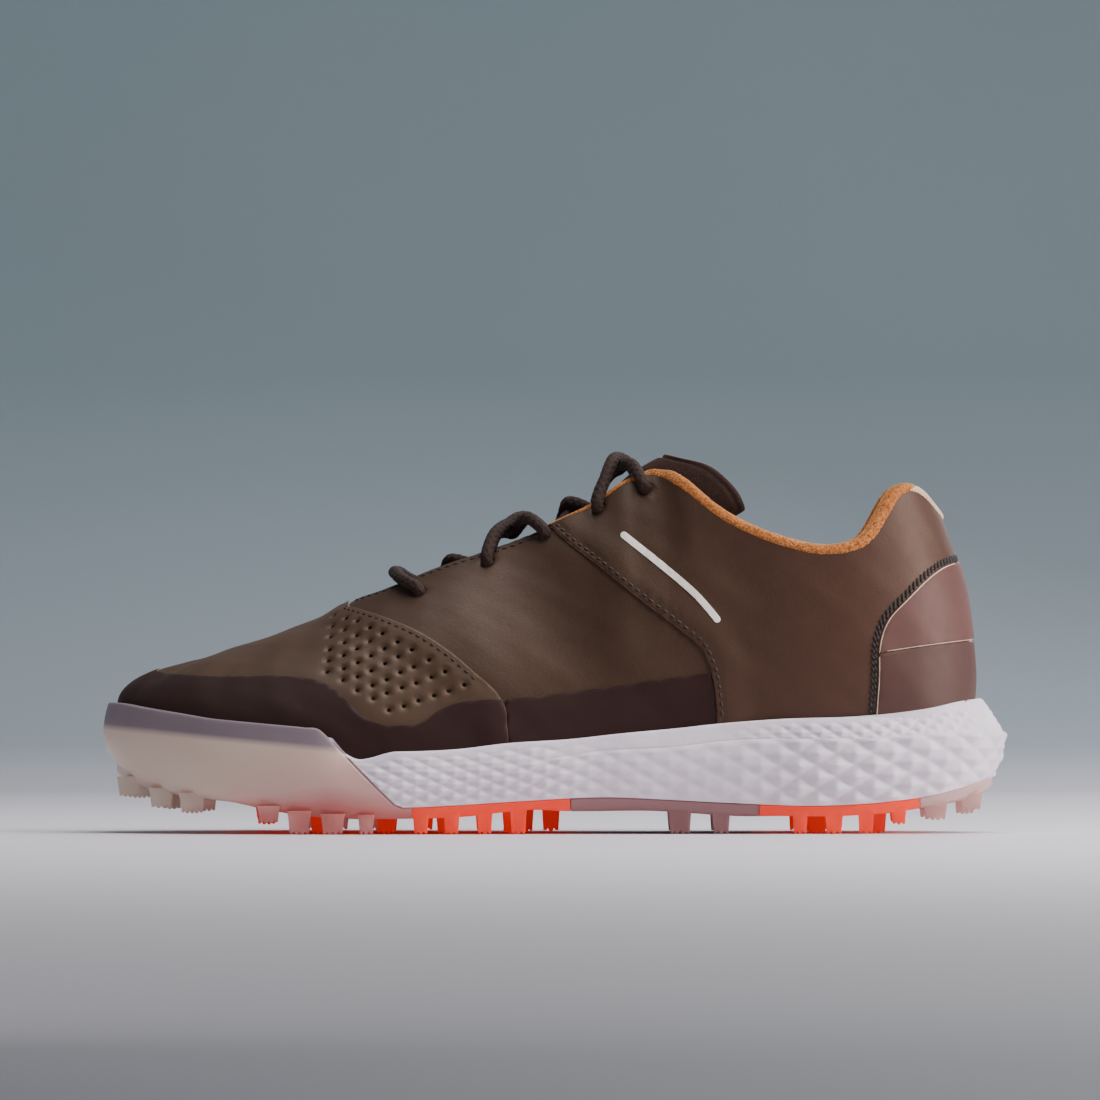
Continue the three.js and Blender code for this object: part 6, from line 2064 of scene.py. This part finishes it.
def stud_set(studs):
    points, faces = [], []
    for stud in studs:
        base = len(points)
        stud_points, stud_faces = stud_body(*stud)
        points += stud_points
        faces += [tuple(base + v for v in f) for f in stud_faces]
    ob = new_object("studs", np.array(points, float), faces, smooth_shade=False)
    bm = bmesh.new()
    bm.from_mesh(ob.data)
    bmesh.ops.recalc_face_normals(bm, faces=bm.faces)
    bmesh.ops.bevel(bm, geom=bm.edges[:], offset=.16 * MM, offset_type="OFFSET", segments=2,
                    affect="EDGES", profile=.5, clamp_overlap=True)
    bm.to_mesh(ob.data)
    bm.free()
    return ob


def stud_gaps(side, stud):
    """Distances of a stud's centre from the middle line and from the sole's edge."""
    x, y = stud[:2]
    sign = OUTWARD[side]
    return sign * (y - mid_y(x)), abs(side_y(side, x)) - sign * y


def in_pod(pod, stud):
    side, x0, x1, exposed = pod
    x, _, width, depth, _ = stud
    inner, outer = stud_gaps(side, stud)
    return (x - width / 2 > x0 and x + width / 2 < x1 and inner - depth / 2 > POD_INNER
            and (x > exposed or outer - depth / 2 > POD_OUTER))


def touches(pod, stud):
    """Whether a stud comes within .6 of a pod."""
    side, x0, x1, exposed = pod
    x, _, width, depth, _ = stud
    inner, outer = stud_gaps(side, stud)
    return (x + width / 2 > x0 - .6 and x - width / 2 < x1 + .6
            and inner + depth / 2 > POD_INNER - .6
            and (x + width / 2 > exposed or outer + depth / 2 > POD_OUTER - .6))


def share_studs():
    """Studs of every pod, and those of the clear rubber."""
    pod_studs, clear_studs = {name: [] for name in PODS}, []
    for stud in stud_list():
        own = [name for name, pod in PODS.items() if in_pod(pod, stud)]
        hit = [pod for pod in PODS.values() if touches(pod, stud)]
        if own:
            pod_studs[own[0]].append(stud)
        elif not hit:
            clear_studs.append(stud)
        else:
            # beside a pod it moves out to the clear margin; across a pod's end it is left out
            side, x0, x1, _ = hit[0]
            x, _, width, _, tip = stud
            if x0 < x < x1:
                clear_studs.append((x, side_y(side, x) - OUTWARD[side] * 3.9, width, 5, tip))
    return pod_studs, clear_studs


def build_outsole():
    """Clear rubber with four coloured pods let into it."""
    points, faces = shell({side: clear_rows(side) for side in SIDES}, 22,
                          lambda p, u: np.minimum(MIDSOLE_Z(p[:, 0]) - .12, p[:, 2]),
                          lambda p, u: PLATE_Z(p[:, 0]))
    clear = fix_normals(new_object("outsole_clear_moulded", points, faces))
    pod_studs, clear_studs = share_studs()
    pods = {}
    for name, pod in PODS.items():
        body = clear.copy()
        body.data = clear.data.copy()
        bpy.context.scene.collection.objects.link(body)
        combine(body, pod_cutter(*pod, 0), "INTERSECT")
        combine(body, stud_set(pod_studs[name]), "UNION")
        body.name = name + "_moulded"
        pods[name] = body
    for pod in PODS.values():
        combine(clear, pod_cutter(*pod, POD_CLEARANCE), "DIFFERENCE")
    combine(clear, stud_set(clear_studs), "UNION")
    shade_smooth(clear.data, sharp_above=38)
    piece(clear, M_CLEAR, "clear_rubber", "outsole_clear")
    for name, body in pods.items():
        shade_smooth(body.data, sharp_above=38)
        piece(body, M_ORANGE, "orange_rubber", name)


build_outsole()


# ------------------------------------------------------------------ stage, light, camera
def floor_material():
    m = Mat("floor_pale")
    height = m.times(m.position()[2], 2.6, clamp=True)
    base = m.ramp(height, (0, (.70, .66, .72, 1)), (.05, (.40, .45, .50, 1)),
                  (.5, (.20, .27, .30, 1)), (1, (.17, .24, .27, 1)))
    base = m.mix(m.times(m.noise(scale=3, detail=2), .06), base, (.8, .8, .8, 1))
    m.set(Base_Color=base, Roughness=.6)
    # the sheet is one-sided, so the shoe can be looked at from behind it too
    back = m.node("ShaderNodeNewGeometry").outputs["Backfacing"]
    see_through = m.node("ShaderNodeBsdfTransparent").outputs[0]
    m.surface(m.mix_shader(back, m.bsdf.outputs[0], see_through))
    return m.material


def build_floor():
    """Pale floor running into a curved backdrop."""
    ground, start, radius = -.05, 1200, 500
    profile = [(y, ground) for y in (-6000, -3000, -1500, -800, -400, 0, 400, 800, start)]
    profile += [(start + radius * math.sin(a), ground + radius * (1 - math.cos(a)))
                for a in np.linspace(0, math.pi / 2, 18)[1:]]
    profile += [(start + radius, 1500), (start + radius, 4000)]
    points = [(x, y, z) for y, z in profile for x in (-6000, -2000, 0, 2000, 6000)]
    faces = [(i * 5 + j, i * 5 + j + 1, (i + 1) * 5 + j + 1, (i + 1) * 5 + j)
             for i in range(len(profile) - 1) for j in range(4)]
    floor = new_object("studio_floor", points, faces)
    paint(floor, floor_material())


def area(name, location, target, size, energy, color):
    """Rectangular area light aimed at a target; size is (x, y)."""
    light = bpy.data.lights.new(name, "AREA")
    light.shape, light.energy, light.color = "RECTANGLE", energy, color
    light.size, light.size_y = size
    ob = bpy.data.objects.new(name, light)
    bpy.context.scene.collection.objects.link(ob)
    ob.location = location
    aim = Vector(target) - Vector(location)
    ob.rotation_euler = aim.to_track_quat("-Z", "Y").to_euler()


def build_lights():
    world = bpy.data.worlds.new("studio")
    bpy.context.scene.world = world
    world.use_nodes = True
    background = world.node_tree.nodes["Background"]
    background.inputs["Color"].default_value = (.70, .80, .88, 1)
    background.inputs["Strength"].default_value = .17
    area("key_top", location=(.25, -.12, 1.15), target=(.02, 0, .05), size=(.7, 1.1),
         energy=15, color=(1, .98, .97))
    area("key_side", location=(1.05, -.75, 1.05), target=(.03, 0, .05), size=(.34, .5),
         energy=7.4, color=(1, .97, .96))
    area("rear_top", location=(.5, 1.0, .7), target=(0, 0, .07), size=(.8, 1.0),
         energy=6, color=(.92, .96, 1))
    area("front_fill", location=(-.7, -1.9, .40), target=(0, 0, .06), size=(1.2, .8),
         energy=1.9, color=(1, .95, .93))
    area("heel_side", location=(1.25, -.25, .30), target=(.13, -.01, .05), size=(.35, .5),
         energy=15, color=(1, .92, .90))
    area("backdrop_wash", location=(.4, .9, 2.2), target=(.4, 1.7, .6), size=(1.6, .8),
         energy=4, color=(.86, .95, 1))


def build_camera():
    """Level camera looking along +Y at the lateral side."""
    distance, height = 4.0, .06
    view_width, view_centre_z = .3696, .0948  # what the picture spans at the shoe
    camera = bpy.data.cameras.new("camera")
    camera.sensor_width, camera.sensor_fit = 36, "HORIZONTAL"
    camera.lens = 36 * distance / view_width
    camera.shift_y = (view_centre_z - height) / view_width
    camera.clip_end = 50
    ob = bpy.data.objects.new("camera", camera)
    bpy.context.scene.collection.objects.link(ob)
    ob.location = (-.0013, -distance, height)
    ob.rotation_euler = (math.radians(90), 0, 0)
    bpy.context.scene.camera = ob


build_floor()
build_lights()
build_camera()

# CAD nodes kept inside the shoe
for node, material in (("toe_puff", M_STIFF), ("heel_counter", M_STIFF),
                       ("strobel_board", M_BOARD), ("shank", M_SHANK)):
    paint(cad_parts[node], material)
